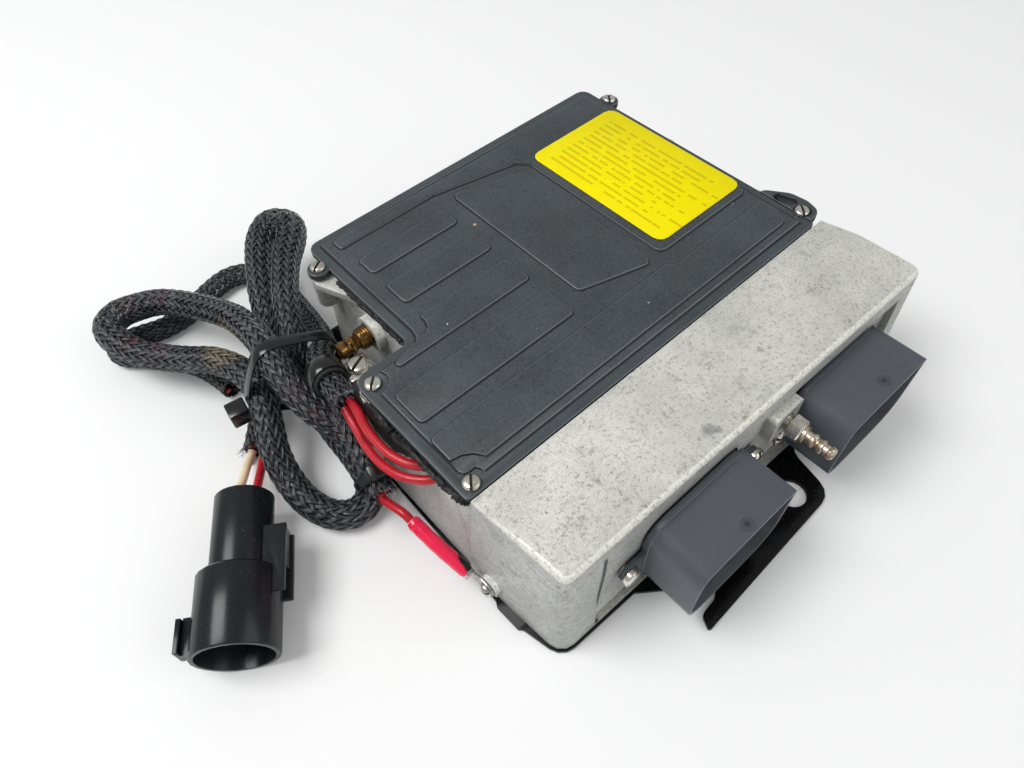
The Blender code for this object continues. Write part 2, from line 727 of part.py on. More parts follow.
def back_web_outline():
    x, y = COVER_SCREWS[2]
    return rounded([
        (NOTCH_X + 0.003, y + 0.0080, 0),
        (x - 0.0050, y + 0.0060, 0.005),
        (x - 0.0058, y - 0.0050, 0.004),
        (NOTCH_X - 0.0010, y - 0.0260, 0.020),
        (NOTCH_X + 0.0005, y - 0.0400, 0.010),
        (NOTCH_X + 0.003, y - 0.0420, 0),
    ])


def header_screw_places():
    places = []
    for x in HEADERS.values():
        for side in (-1, 1):
            places.append((x + side * HEADER_EAR_X, PANEL_Y, HEADER_Z + HEADER_EAR_LIFT + side * HEADER_EAR_Z))
    return places


def cover():
    """The lid: a flange with ears, a raised field and the raised pads on it."""
    made = slab("cover", rounded(cover_corners()), COVER_LOW, FLANGE_TOP, COVER_PLASTIC)
    for i, (x, y) in enumerate(COVER_SCREWS[2:4]):
        ear = slab(f"cover_ear_{i}", circle(x, y, EAR_RADIUS, 16), COVER_LOW, FLANGE_TOP, COVER_PLASTIC)
        join(made, ear)
    edge = inner(cover_corners(), FIELD_MARGIN)
    field = slab(
        "field", rounded(edge), FLANGE_TOP - SUNK, FIELD_TOP, COVER_PLASTIC, rounded(inner(edge, FIELD_RISE))
    )
    for i, (x, y) in enumerate(COVER_SCREWS):
        scallop = slab(f"scallop_{i}", circle(x, y, SCALLOP_RADIUS, 16), FLANGE_TOP, PAD_TOP, COVER_PLASTIC)
        cut(field, scallop)
    join(made, field)
    for name, corners in cover_pads().items():
        top = rounded(inner(corners, PAD_RISE * 0.6), 2)
        pad = slab(name, rounded(corners, 2), FIELD_TOP - SUNK, PAD_TOP, COVER_PLASTIC, top)
        join(made, pad)
    x, y = COVER_SCREWS[0]
    bite = slab("front_pad_bite", circle(x, y, SCALLOP_RADIUS + 0.0060, 16), FIELD_TOP, PAD_TOP + 0.01, COVER_PLASTIC)
    cut(made, bite)
    x, y = COVER_SCREWS[4]
    join(made, slab("corner_hoop", corner_hoop_outline(), COVER_LOW, FLANGE_TOP + HOOP_RISE, COVER_PLASTIC))
    cut(made, slab("hoop_seat", circle(x, y, SCREW_HEAD / 2 + 0.0008, 16), FLANGE_TOP, PAD_TOP + 0.01, COVER_PLASTIC))
    pocket = around([(HALF + 0.0046, y + 0.0082), (HALF + 0.0022, y + 0.0160)], 0.0028, 6)
    cut(made, slab("hoop_pocket", pocket, COVER_LOW + 0.0010, PAD_TOP + 0.01, COVER_PLASTIC))
    for x, y in COVER_SCREWS:
        screw_hole(made, (x, y, FLANGE_TOP), depth=COVER_THICK)
    return made


def corner_hoop_outline():
    """The long front right ear, drawn from the cover's right edge outwards."""
    edge = HALF - 0.0010
    return rounded([
        (edge, COVER_FRONT + 0.0025, 0),
        (HALF + 0.0085, COVER_FRONT + 0.0030, 0.006),
        (HALF + 0.0112, COVER_FRONT + 0.0130, 0.008),
        (HALF + 0.0100, COVER_FRONT + 0.0235, 0.010),
        (HALF + 0.0020, COVER_FRONT + 0.0350, 0.008),
        (edge, COVER_FRONT + 0.0365, 0),
    ])


def cover_pads():
    """The pads, as corners (x, y, radius), set out from the cover's edges."""
    left = NOTCH_X + 0.0135
    middle = -0.0177
    pad_steps = {
        "pad_2": (COVER_BACK - 0.0448, COVER_BACK - 0.0300),
        "pad_3": (COVER_BACK - 0.0735, COVER_BACK - 0.0551),
    }
    pads = {
        name: [(left, low, 0.003), (middle, low, 0.003), (middle, high, 0.003), (left, high, 0.003)]
        for name, (low, high) in pad_steps.items()
    }
    low = NOTCH_Y - 0.0114
    high = NOTCH_Y + 0.0090
    pads["pad_4"] = [
        (-HALF + 0.0205, low, 0.003),
        (middle, low, 0.003),
        (middle, high, 0.003),
        (left, high, 0.003),
        (left, low + 0.0105, 0.006),
        (-HALF + 0.0205, low + 0.0045, 0.002),
    ]
    pads["pad_5"] = [
        (-HALF + 0.0085, low - 0.0330, 0.003),
        (middle, low - 0.0330, 0.003),
        (middle, low - 0.0108, 0.003),
        (-HALF + 0.0085, low - 0.0108, 0.003),
    ]
    pads["centre_pad"] = [
        (-0.0074, COVER_FRONT + 0.0518, 0.004),
        (0.0344, COVER_FRONT + 0.0397, 0.004),
        (0.0375, COVER_FRONT + 0.0440, 0.003),
        (0.0375, COVER_BACK - 0.0370, 0.004),
        (-0.0074, COVER_BACK - 0.0232, 0.004),
    ]
    right = HALF - 0.0070
    pads["back_pad"] = [
        (left - 0.0020, COVER_BACK - 0.0175, 0.002),
        (-0.0150, COVER_BACK - 0.0175, 0.003),
        (0.0380, COVER_BACK - 0.0290, 0.003),
        (0.0440, COVER_BACK - 0.0360, 0.004),
        (0.0440, COVER_FRONT + 0.0410, 0.005),
        (right, COVER_FRONT + 0.0410, 0.005),
        (right, COVER_BACK - 0.0085, 0.004),
        (left - 0.0020, COVER_BACK - 0.0085, 0.002),
    ]
    pads["front_pad"] = [
        (-HALF + 0.0060, COVER_FRONT + 0.0100, 0.003),
        (right - 0.0050, COVER_FRONT + 0.0104, 0.005),
        (right, COVER_FRONT + 0.0310, 0.003),
        (0.0440, COVER_FRONT + 0.0310, 0.003),
        (0.0400, COVER_FRONT + 0.0346, 0.003),
        (-HALF + 0.0060, COVER_FRONT + 0.0346, 0.003),
    ]
    return pads


def label_panel():
    """A blank panel stuck on the back pad."""
    plan = rectangle(0.0495, HALF - 0.0060, COVER_FRONT + 0.0462, COVER_BACK - 0.0308, 0.006)
    return slab("label_panel", plan, PAD_TOP + GAP, PAD_TOP + GAP + LABEL_THICK, LABEL_YELLOW)


def cover_gasket():
    """A flat ring between the casting's rim and the cover."""
    rim = inner(body_corners(), BODY_DRAFT + 0.0004)
    made = slab(
        "cover_gasket", rounded(rim), GASKET_LOW, GASKET_LOW + GASKET_THICK, SOFT_BLACK,
        hole=rounded(inner(rim, GASKET_WIDTH)),
    )
    for i, (x, y) in enumerate(COVER_SCREWS):
        radius = SCREW_SHANK / 2 + BOLT_CLEARANCE * 2
        cut(made, slab(f"gasket_hole_{i}", circle(x, y, radius, 12), SEAT, COVER_LOW, SOFT_BLACK))
    front = boxes(
        "gasket_front_cut", [((-0.3, BAR_FRONT, SEAT), (0.3, COVER_FRONT + 0.0010, COVER_LOW))], SOFT_BLACK
    )
    return cut(made, front)


def header(side, x):
    """One socket: a deep rounded shroud on a flange, with a window for its terminals."""
    name = f"header_{side}"
    face = HEADER_FLANGE + 0.001 + GAP
    flange = rectangle(
        -HEADER_WIDTH / 2 - 0.0005, HEADER_WIDTH / 2 + 0.0005,
        -HEADER_HEIGHT / 2 - 0.0020, HEADER_HEIGHT / 2 + 0.0020, HEADER_CORNER,
    )
    made = slab(name, flange, 0.001 + GAP, face, SOCKET_PLASTIC)
    rim = HEADER_DEPTH
    shroud = slab(name + "_shroud", header_outline(), 0.002, rim, SOCKET_PLASTIC)
    join(made, shroud)
    cut(made, slab(name + "_mouth", header_outline(HEADER_WALL), face, rim + 0.01, SOCKET_PLASTIC))
    keys = []
    for at, width in ((-0.42, 0.0022), (-0.05, 0.0022), (0.40, 0.0030)):
        for up in (-1, 1):
            edge = HEADER_HEIGHT / 2 - HEADER_WALL + SUNK
            low, high = sorted((up * edge, up * (edge - 0.0035)))
            keys.append(((at * HEADER_WIDTH * 0.8 - width / 2, low, face - SUNK),
                         (at * HEADER_WIDTH * 0.8 + width / 2, high, rim - 0.006)))
    join(made, boxes(name + "_keys", keys, SOCKET_PLASTIC))
    for across in (-1, 1):
        x_ear = across * HEADER_EAR_X
        z_ear = HEADER_EAR_LIFT + across * HEADER_EAR_Z
        inner_end = (across * HEADER_WIDTH / 2, z_ear)
        ear = slab(f"{name}_ear_{across}", around([inner_end, (x_ear, z_ear)], HEADER_EAR, 4),
                   0.001 + GAP, face - 0.0004, SOCKET_PLASTIC)
        join(made, ear)
        hole = slab(f"{name}_hole_{across}", circle(x_ear, z_ear, SCREW_SHANK / 2 + BOLT_CLEARANCE, 10),
                    -0.01, face + 0.01, SOCKET_PLASTIC)
        cut(made, hole)
    window = rectangle(*terminal_block_plan(GAP), 0.002)
    cut(made, slab(name + "_window", window, -0.01, face + 0.004, SOCKET_PLASTIC))
    for modifier in made.modifiers:
        facing_front(modifier.object, x, PANEL_Y, HEADER_Z)
    return facing_front(made, x, PANEL_Y, HEADER_Z)


def terminal_block_plan(grow=0.0):
    half_w = HEADER_WIDTH * 0.36 + grow
    half_h = HEADER_HEIGHT * 0.26 + grow
    return (-half_w, half_w, -half_h, half_h)


def terminals(side, x):
    """The insulator that carries the pins through the socket, and the pins' bent tails."""
    name = f"terminals_{side}"
    x0, x1, z0, z1 = terminal_block_plan()
    top = HEADER_FLANGE + 0.004
    made = slab(name, rectangle(x0, x1, z0, z1, 0.002), -0.005, top, CHIP_BLACK)
    pins = []
    tails = []
    half = PIN_SIDE / 2
    columns = int((x1 - x0 - PIN_PITCH) / PIN_PITCH) + 1
    for row, z in enumerate((-PIN_PITCH, 0.0, PIN_PITCH)):
        for k in range(columns):
            at = (k - (columns - 1) / 2) * PIN_PITCH
            pins.append(((at - half, z - half, top - SUNK), (at + half, z + half, top + 0.009)))
        reach = -0.012 - row * 0.006
        drop = BOARD_TOP + GAP - HEADER_Z
        for k in range(0, columns, 2):
            at = (k - (columns - 1) / 2) * PIN_PITCH
            tails.append(((at - half, drop, reach), (at + half, z + half, reach + PIN_SIDE)))
            pins.append(((at - half, z - half, reach + SUNK), (at + half, z + half, -0.005 + SUNK)))
    parts = [boxes(name + "_pins", pins, NICKEL), boxes(name + "_tails", tails, NICKEL)]
    for part in parts:
        facing_front(part, x, PANEL_Y, HEADER_Z)
        join(made, part)
    return facing_front(made, x, PANEL_Y, HEADER_Z)


def header_gasket(side, x):
    ring = header_outline(0.0016)
    made = slab(f"header_gasket_{side}", ring, GAP, 0.001, SOFT_BLACK, hole=header_outline(0.0036))
    return facing_front(made, x, PANEL_Y, HEADER_Z)


def base_plate():
    """The bracket: a flat plate under the casting with a hooked tab and a rear strip."""
    left = -HALF - 0.0035 - PLATE_MARGIN
    right = HALF + BAR_SHOULDER + 0.0010 + PLATE_MARGIN
    front = BAR_FRONT + 0.0020
    tip = front - TAB_REACH
    made = slab("base_plate", rounded([
        (-HALF + 0.0015, front - 0.0010, 0.010),
        (-0.0750, front - 0.0022, 0),
        (-0.0620, front - 0.0120, 0.010),
        (-0.0400, front - 0.0260, 0.006),
        (-0.0480, front - 0.0310, 0.006),
        (-0.0590, front - 0.0320, 0.004),
        (-0.0625, tip - 0.0025, 0.0010),
        (0.0425, tip + 0.0008, 0.0110),
        (0.0465, tip + 0.0170, 0.0110),
        (0.0500, front - 0.0040, 0.0120),
        (right, front - BAR_SKEW - PLATE_MARGIN, 0.010),
        (right - 0.0010, COVER_FRONT - 0.0190, 0.012),
        (HALF + 0.0015, COVER_FRONT + 0.0040, 0.004),
        (HALF + 0.0015, COVER_BACK + 0.0005, 0.006),
        (HALF - 0.0600, COVER_BACK + REAR_STRIP, 0.006),
        (NOTCH_X - 0.0040, COVER_BACK + REAR_STRIP, 0.004),
        (NOTCH_X - 0.0040, NOTCH_Y + 0.0010, 0.004),
        (left + 0.0030, NOTCH_Y + 0.0010, 0.006),
        (left + 0.0005, COVER_FRONT - 0.0170, 0.002),
        (left - 0.0012, COVER_FRONT - 0.0200, 0.001),
        (left - 0.0008, COVER_FRONT - 0.0350, 0.001),
        (left + 0.0010, COVER_FRONT - 0.0370, 0.002),
    ], 3), 0, PLATE_THICK, BLACK_PAINT)
    hole = slab("tab_hole", circle(0.0275, tip + 0.0150, TAB_HOLE / 2), -0.01, 0.01, BLACK_PAINT)
    cut(made, hole)
    for i, x in enumerate((NOTCH_X + 0.0150, HALF - 0.0800)):
        rear = slab(f"rear_hole_{i}", circle(x, COVER_BACK + REAR_STRIP * 0.35, 0.0024, 14), -0.01, 0.01, BLACK_PAINT)
        cut(made, rear)
    for i, (x, y) in enumerate(BASE_SCREWS):
        sink = turned(f"countersink_{i}", [
            (0, 0.01),
            (SCREW_SHANK / 2 + BOLT_CLEARANCE, 0.01),
            (SCREW_SHANK / 2 + BOLT_CLEARANCE, PLATE_THICK - 0.0002),
            (SCREW_HEAD / 2 + BOLT_CLEARANCE, -0.0001),
            (SCREW_HEAD / 2 + BOLT_CLEARANCE, -0.01),
            (0, -0.01),
        ], BLACK_PAINT, 10)
        sink.location = (x, y, 0)
        cut(made, sink)
    return made


def base_screw(index, x, y):
    """A countersunk screw, flush with the plate's underside."""
    made = turned(f"base_screw_{index}", [
        (0, FOOT + 0.0070),
        (SCREW_SHANK / 2, FOOT + 0.0070),
        (SCREW_SHANK / 2, PLATE_THICK - 0.0003),
        (SCREW_HEAD / 2, 0.0002),
        (0, 0.0002),
    ], NICKEL, 10)
    made.location = (x, y, 0)
    return made


def hose_barb():
    """A nickel hose barb with a hexagon, screwed into its lug."""
    made = turned("hose_barb", [
        (0.0012, 0.0270),
        (0.0030, 0.0268),
        (0.0036, 0.0248),
        (0.0027, 0.0230),
        (0.0027, 0.0222),
        (0.0038, 0.0202),
        (0.0027, 0.0182),
        (0.0027, 0.0174),
        (0.0038, 0.0154),
        (0.0030, 0.0134),
        (0.0044, 0.0114),
        (0.0044, 0.0090),
        (0.0047, 0.0088),
        (BARB_THREAD / 2, 0.0006),
        (BARB_THREAD / 2, -0.0080),
        (BARB_THREAD / 2 - 0.0010, -0.0092),
        (0.0012, -0.0092),
        (0.0012, 0.0270),
    ], NICKEL, 12)
    across = BARB_HEX / 2 / math.cos(math.pi / 6)
    hexagon = slab("barb_hex", circle(0, 0, across, 6), 0.0022, 0.0094, NICKEL, hole=circle(0, 0, 0.0035, 12))
    for piece in (made, hexagon):
        aim(piece, (BARB_X, BARB_FACE, BARB_HEIGHT), (0, -1, 0))
    return join(made, hexagon)


def brass_fitting():
    """A brass connector with a threaded root, a waist and a bored nose."""
    thread = BRASS_THREAD / 2
    made = turned("brass_fitting", [
        (0.0022, 0.0190),
        (0.0042, 0.0190),
        (0.0047, 0.0182),
        (0.0047, 0.0146),
        (0.0040, 0.0138),
        (0.0040, 0.0128),
        (0.0056, 0.0122),
        (0.0056, 0.0098),
        (0.0038, 0.0092),
        (0.0038, 0.0074),
        (thread - 0.0008, 0.0068),
        (thread, 0.0060),
        (thread, -0.0070),
        (thread - 0.0010, -0.0080),
        (0.0022, -0.0080),
        (0.0022, 0.0190),
    ], BRASS, 12)
    return aim(made, (BRASS_FACE, BRASS_Y, BRASS_HEIGHT), (-1, 0.02, 0))


def circuit_board():
    """The board, cut back at the notch, with its mounting holes."""
    edge = WALL + BOARD_CLEARANCE + BODY_DRAFT
    plan = rounded([
        (-HALF + edge + 0.001, PANEL_Y + WALL + 0.0160, 0.002),
        (HALF - edge - 0.001, PANEL_Y + WALL + 0.0160, 0.002),
        (HALF - edge - 0.001, COVER_BACK - edge - 0.002, 0.006),
        (NOTCH_X + edge + 0.001, COVER_BACK - edge - 0.002, 0.006),
        (NOTCH_X + edge + 0.001, NOTCH_Y - edge - 0.004, 0.002),
        (-HALF + edge + 0.001, NOTCH_Y - edge - 0.004, 0.002),
    ], 3)
    made = slab("circuit_board", plan, BOARD_LOW, BOARD_TOP, BOARD_GREEN)
    for x, y in BOARD_SCREWS:
        screw_hole(made, (x, y, BOARD_TOP), depth=BOARD_THICK)
    return made


def board_parts():
    """What stands on the board: the processor, drivers, capacitors and a coil."""
    low = BOARD_TOP + GAP
    processor = box("processor", (-0.015, 0.010, low), (0.015, 0.040, low + 0.0034), CHIP_BLACK)
    corner = processor.modifiers.new("edge", "BEVEL")
    corner.width = 0.0005
    corner.segments = 1
    for i, x in enumerate((0.040, 0.068)):
        can = [(0, 0.0300), (0.0078, 0.0300), (0.0088, 0.0290), (0.0088, 0.0052), (0.0082, 0.0044),
               (0.0088, 0.0036), (0.0088, 0), (0, 0)]
        made = turned(f"capacitor_{i + 1}", can, CHIP_BLACK, 14)
        made.location = (x, 0.075, low)
    coil = turned("power_coil", [(0.0130, 0.0140), (0.0150, 0.0120), (0.0150, 0.0010), (0.0135, 0),
                                 (0.0065, 0), (0.0055, 0.0010), (0.0055, 0.0120), (0.0070, 0.0140),
                                 (0.0130, 0.0140)], BRASS, 12)
    coil.location = (-0.050, 0.070, low)


def clip():
    """The cushioned clip that holds the branch sleeve against the casting."""
    half = CLIP_WIDTH / 2
    cushion = turned("clip_cushion", [
        (CUSHION_OUT - 0.0005, half),
        (CUSHION_OUT, half - 0.0005),
        (CUSHION_OUT, -half + 0.0005),
        (CUSHION_OUT - 0.0005, -half),
        (CUSHION_IN, -half),
        (CUSHION_IN, half),
        (CUSHION_OUT - 0.0005, half),
    ], SOFT_BLACK, 20)
    aim(cushion, CLIP_PLACE, CLIP_AXIS)
    band_half = half - 0.0015
    band = turned("clip_band", [
        (BAND_OUT, band_half),
        (BAND_OUT, -band_half),
        (CUSHION_OUT + GAP, -band_half),
        (CUSHION_OUT + GAP, band_half),
        (BAND_OUT, band_half),
    ], NICKEL, 20)
    aim(band, CLIP_PLACE, CLIP_AXIS)
    x, y = CLIP_SCREW
    tab = box(
        "clip_tab",
        (CLIP_PLACE.x + CUSHION_OUT * 0.90, y - 0.0062, LUG_TOP + GAP),
        (x + 0.0068, y + 0.0062, LUG_TOP + GAP + 2 * BAND_THICK), NICKEL,
    )
    join(band, tab)
    room = disc("cushion_room", CUSHION_OUT + GAP, -0.02, 0.02, NICKEL)
    cut(band, aim(room, CLIP_PLACE, CLIP_AXIS))
    cut(band, slab("tab_hole", circle(x, y, SCREW_SHANK / 2 + BOLT_CLEARANCE, 12), LUG_TOP - 0.002,
                   LUG_TOP + 0.01, NICKEL))
    pan_screw("clip_screw", (x, y, LUG_TOP + GAP + 2 * BAND_THICK), turn=0.4, length=0.0095,
              across=CLIP_SCREW_HEAD)


def inlet_seal():
    """The block of sealant that fills the wire inlet under the cover."""
    return box(
        "inlet_seal",
        (-HALF + 0.0035, INLET_FRONT + GAP, INLET_LOW + GAP),
        (-HALF + WALL, INLET_BACK - GAP, GASKET_LOW - GAP * 2), SOFT_BLACK,
    )


def inlet_wires():
    """Three wires from the branch sleeve's end into the sealant."""
    face = -HALF + 0.0035 - 2 * GAP
    near = face - 0.0030
    tube("red_wire_1", [
        (-0.1287, 0.0274, SEAT - 0.0078), (-0.1300, 0.0180, SEAT - 0.0070), (-0.1325, 0.0080, SEAT - 0.0065),
        (-0.1335, -0.0030, SEAT - 0.0060), (-0.1330, -0.0130, SEAT - 0.0055), (-0.1300, -0.0225, SEAT - 0.0050),
        (near, -0.0282, SEAT - 0.0055), (face - 0.0002, -0.0284, SEAT - 0.0055),
    ], WIRE, WIRE_RED)
    tube("red_wire_2", [
        (-0.1327, 0.0274, SEAT - 0.0115), (-0.1345, 0.0160, SEAT - 0.0135), (-0.1370, 0.0030, SEAT - 0.0135),
        (-0.1375, -0.0110, SEAT - 0.0120), (-0.1350, -0.0230, SEAT - 0.0100), (-0.1300, -0.0315, SEAT - 0.0085),
        (near, -0.0355, SEAT - 0.0080), (face, -0.0362, SEAT - 0.0080),
    ], WIRE, WIRE_RED)
    tube("cream_wire", [
        (-0.1270, 0.0274, SEAT - 0.0132), (-0.1285, 0.0170, SEAT - 0.0145), (-0.1310, 0.0050, SEAT - 0.0145),
        (-0.1315, -0.0070, SEAT - 0.0135), (-0.1290, -0.0160, SEAT - 0.0120),
        (near, -0.0205, SEAT - 0.0115), (face, -0.0212, SEAT - 0.0115),
    ], WIRE * 0.9, WIRE_CREAM)


def ground_lead():
    """The lead out of the main sleeve's end: wire, shrink tube, ring terminal and screw."""
    x, y, z = GROUND_PLACE
    heel = Vector((x - 0.0033, y + 0.0105, z + 0.0030))
    run = (Vector(SLEEVE_ROUTE[0]) - Vector(SLEEVE_ROUTE[1])).normalized()
    start = Vector(SLEEVE_ROUTE[0]) + run * GAP
    bend = Vector((-0.1385, -0.0260, 0.0290))
    along = (heel - bend).normalized()
    tube("ground_wire", [start, start + run * 0.0040, bend - along * 0.0060, bend], WIRE, WIRE_RED)
    shrink_end = heel - along * (RING_BARREL - 0.0010 + GAP)
    tube("heat_shrink", [
        bend + along * GAP,
        bend + along * 0.0050,
        bend.lerp(heel, 0.5) + Vector((-0.0006, 0, 0.0010)),
        shrink_end - along * 0.0050,
        shrink_end,
    ], SHRINK, SHRINK_RED, 2, 1)
    thick = 0.0012
    made = slab("ring_terminal", around([(0, 0), (-0.0045, 0)], 0.0046), GAP, GAP + thick, NICKEL)
    neck = box("ring_neck", (-0.0110, -0.0021, GAP), (-0.0020, 0.0021, GAP + thick), NICKEL)
    barrel = turned("ring_barrel", [(0, RING_BARREL), (0.0030, RING_BARREL), (0.0030, 0), (0, 0)], NICKEL, 12)
    turn = Matrix(((0, 0, -1), (-1, 0, 0), (0, 1, 0))).to_quaternion()
    for piece in (made, neck):
        piece.location = GROUND_PLACE
        piece.rotation_mode = "QUATERNION"
        piece.rotation_quaternion = turn
    aim(barrel, heel + along * 0.0010, -along)
    join(made, neck)
    join(made, barrel)
    hole = disc("ring_hole", SCREW_SHANK / 2 + BOLT_CLEARANCE, -0.01, 0.01, NICKEL, 12)
    cut(made, aim(hole, GROUND_PLACE, (-1, 0, 0)))
    face = x - GAP - thick
    pan_screw("ground_screw", (face, y, z), (-1, 0, 0), 0.7, length=0.0065)


def harness():
    tube("harness_sleeve", SLEEVE_ROUTE, SLEEVE, BRAID, 2, 1)
    tube("branch_sleeve", BRANCH_ROUTE, BRANCH_SLEEVE, BRAID, 2, 2)


TIE_PLACE = Vector((-0.1385, 0.0850, 0.0))
TIE_ALONG = Vector((0.15, 1.0, 0.0)).normalized()
TIE_ROUND = [
    (0.0070, 0.0180),
    (0.0240, 0.0400),
    (0.0230, 0.0500),
    (-0.0045, 0.0610),
    (-0.0172, 0.0340),
]


def band(name, place, along, centres, radius, head, scale=1.0):
    """A cable tie: a thin closed band round the cords, with its locking head."""
    width = TIE_WIDTH * scale
    made = slab(name, around(centres, radius + TIE_THICK), -width / 2, width / 2, PLUG_PLASTIC,
                hole=around(centres, radius))
    x, y = head
    half = TIE_HEAD * scale / 2
    lock = box(name + "_head", (x - half, y - half, -half), (x + half, y + half, half), PLUG_PLASTIC)
    across = Vector(along).cross(Vector((0, 0, 1))).normalized()
    up = across.cross(Vector(along)).normalized()
    turn = Matrix((across, up, -Vector(along))).transposed()
    if turn.determinant() < 0:
        turn = Matrix((across, up, Vector(along))).transposed()
    for piece in (made, lock):
        piece.location = place
        piece.rotation_mode = "QUATERNION"
        piece.rotation_quaternion = turn.to_quaternion()
    return join(made, lock)


def ties():
    clear = SLEEVE / 2 + 0.0008
    side = -0.0172 - clear - TIE_HEAD * BUNDLE_TIE / 2
    band("bundle_tie", TIE_PLACE, TIE_ALONG, TIE_ROUND, clear, (side, 0.0300), BUNDLE_TIE)
    start = Vector(SLEEVE_ROUTE[0])
    along = (Vector(SLEEVE_ROUTE[1]) - start).normalized()
    small = SLEEVE / 2 + 0.0009
    band("small_tie", start + along * 0.0075, along, [(-0.0001, 0), (0.0001, 0)], small,
         (0.0020, small + TIE_HEAD / 2))


PLUG_AXIS = Vector((-0.54, -0.84, 0.0)).normalized()
PLUG_SIDE = Vector((0.84, -0.54, 0.0)).normalized()
PLUG_REAR = Vector((-0.1935, 0.0470, PLUG_MOUTH / 2 + GAP))


def in_plug(piece):
    """Sets a piece drawn in the plug's own axes: Z to the mouth, X to the latch side."""
    piece.location = PLUG_REAR
    piece.rotation_mode = "QUATERNION"
    up = PLUG_AXIS.cross(PLUG_SIDE)
    piece.rotation_quaternion = Matrix((PLUG_SIDE, up, PLUG_AXIS)).transposed().to_quaternion()
    return piece


def plug():
    """The two-pin plug: its stepped shell, latch, pin carrier, rear seal and wires."""
    body = PLUG_BODY / 2
    mouth = PLUG_MOUTH / 2
    length = PLUG_BODY_LENGTH + PLUG_MOUTH_LENGTH
    bore = body - PLUG_WALL
    shell = turned("plug_shell", [
        (0, length),
        (mouth - 0.0004, length),
        (mouth, length - 0.0006),
        (mouth, PLUG_BODY_LENGTH + 0.0015),
        (mouth - 0.0015, PLUG_BODY_LENGTH),
        (body, PLUG_BODY_LENGTH),
        (body, 0.0005),
        (body - 0.0005, 0),
        (0, 0),
    ], PLUG_PLASTIC, 24)
    guard = boxes("latch_guard", [
        ((body - 0.002, -0.0085, PLUG_BODY_LENGTH * 0.52), (body + 0.0090, -0.0060, PLUG_BODY_LENGTH + 0.014)),
        ((body - 0.002, 0.0060, PLUG_BODY_LENGTH * 0.52), (body + 0.0090, 0.0085, PLUG_BODY_LENGTH + 0.014)),
    ], PLUG_PLASTIC)
    rail = boxes("plug_rail", [
        ((-mouth - 0.0045, -0.0018, length - 0.022), (-mouth + 0.001, 0.0018, length - 0.003)),
    ], PLUG_PLASTIC)
    rail_cap = boxes("plug_rail_cap", [
        ((-mouth - 0.0062, -0.0060, length - 0.0205), (-mouth - 0.0040, 0.0060, length - 0.0045)),
    ], PLUG_PLASTIC)
    for piece in (guard, rail, rail_cap):
        join(shell, in_plug(piece))
    hollow = turned("plug_hollow", [
        (0, length + 0.01),
        (mouth - PLUG_WALL, length + 0.01),
        (mouth - PLUG_WALL, PLUG_BODY_LENGTH + PLUG_WALL),
        (bore, PLUG_BODY_LENGTH - PLUG_WALL),
        (bore, -0.01),
        (0, -0.01),
    ], PLUG_PLASTIC, 24)
    cut(shell, in_plug(hollow))
    in_plug(shell)
    latch = box("plug_latch", (body + 0.0015, -0.0056, PLUG_BODY_LENGTH * 0.50),
                (body + 0.0078, 0.0056, PLUG_BODY_LENGTH - 0.0005), PLUG_PLASTIC)
    soften = latch.modifiers.new("edge", "BEVEL")
    soften.width = 0.0008
    soften.segments = 2
    in_plug(latch)
    carrier = turned("plug_carrier", [
        (0, PLUG_BODY_LENGTH + 0.014),
        (bore - 0.0030, PLUG_BODY_LENGTH + 0.014),
        (bore - 0.0030, PLUG_BODY_LENGTH - 0.004),
        (bore - GAP, PLUG_BODY_LENGTH - 0.004),
        (bore - GAP, PLUG_BODY_LENGTH - 0.016),
        (0, PLUG_BODY_LENGTH - 0.016),
    ], SOFT_BLACK, 16)
    in_plug(carrier)
    for side in (-1, 1):
        pin = turned(f"plug_pin_{side}", [
            (0, length - 0.008),
            (PLUG_PIN / 2 - 0.0008, length - 0.008),
            (PLUG_PIN / 2, length - 0.0095),
            (PLUG_PIN / 2, PLUG_BODY_LENGTH + 0.010),
            (0, PLUG_BODY_LENGTH + 0.010),
        ], NICKEL, 12)
        in_plug(pin)
        pin.location = pin.location + PLUG_SIDE * side * PLUG_PITCH / 2
        join(carrier, pin)
    seal = turned("plug_seal", [
        (0, 0.0120), (bore - GAP, 0.0120), (bore - GAP, 0.0040), (0, 0.0040),
    ], SOFT_BLACK, 16)
    in_plug(seal)
    for name, side, finish in (("plug_wire_cream", -1, WIRE_CREAM), ("plug_wire_red", 1, WIRE_RED)):
        end = PLUG_REAR + PLUG_AXIS * (0.0040 - GAP) + PLUG_SIDE * side * 0.0055
        start = Vector(SLEEVE_ROUTE[-1])
        run = (start - Vector(SLEEVE_ROUTE[-2])).normalized()
        aside = run.cross(Vector((0, 0, 1))).normalized()
        first = start + run * 0.0006 - aside * side * 0.0030
        tube(name, [first, first + run * 0.0070 - aside * side * 0.0010, first.lerp(end, 0.62),
                    end - PLUG_AXIS * 0.0060, end], WIRE, finish)


def header_key():
    """A small green keying insert in the right socket's lower left corner."""
    plan = rectangle(-0.0022, 0.0022, -0.0030, 0.0030, 0.0008)
    made = slab("header_key", plan, 0.0, 0.0140, KEY_GREEN)
    x = HEADERS["right"] - HEADER_WIDTH / 2 + HEADER_WALL + 0.0027
    y = PANEL_Y - HEADER_FLANGE - 0.001 - 2 * GAP
    return facing_front(made, x, y, HEADER_Z - 0.0040)


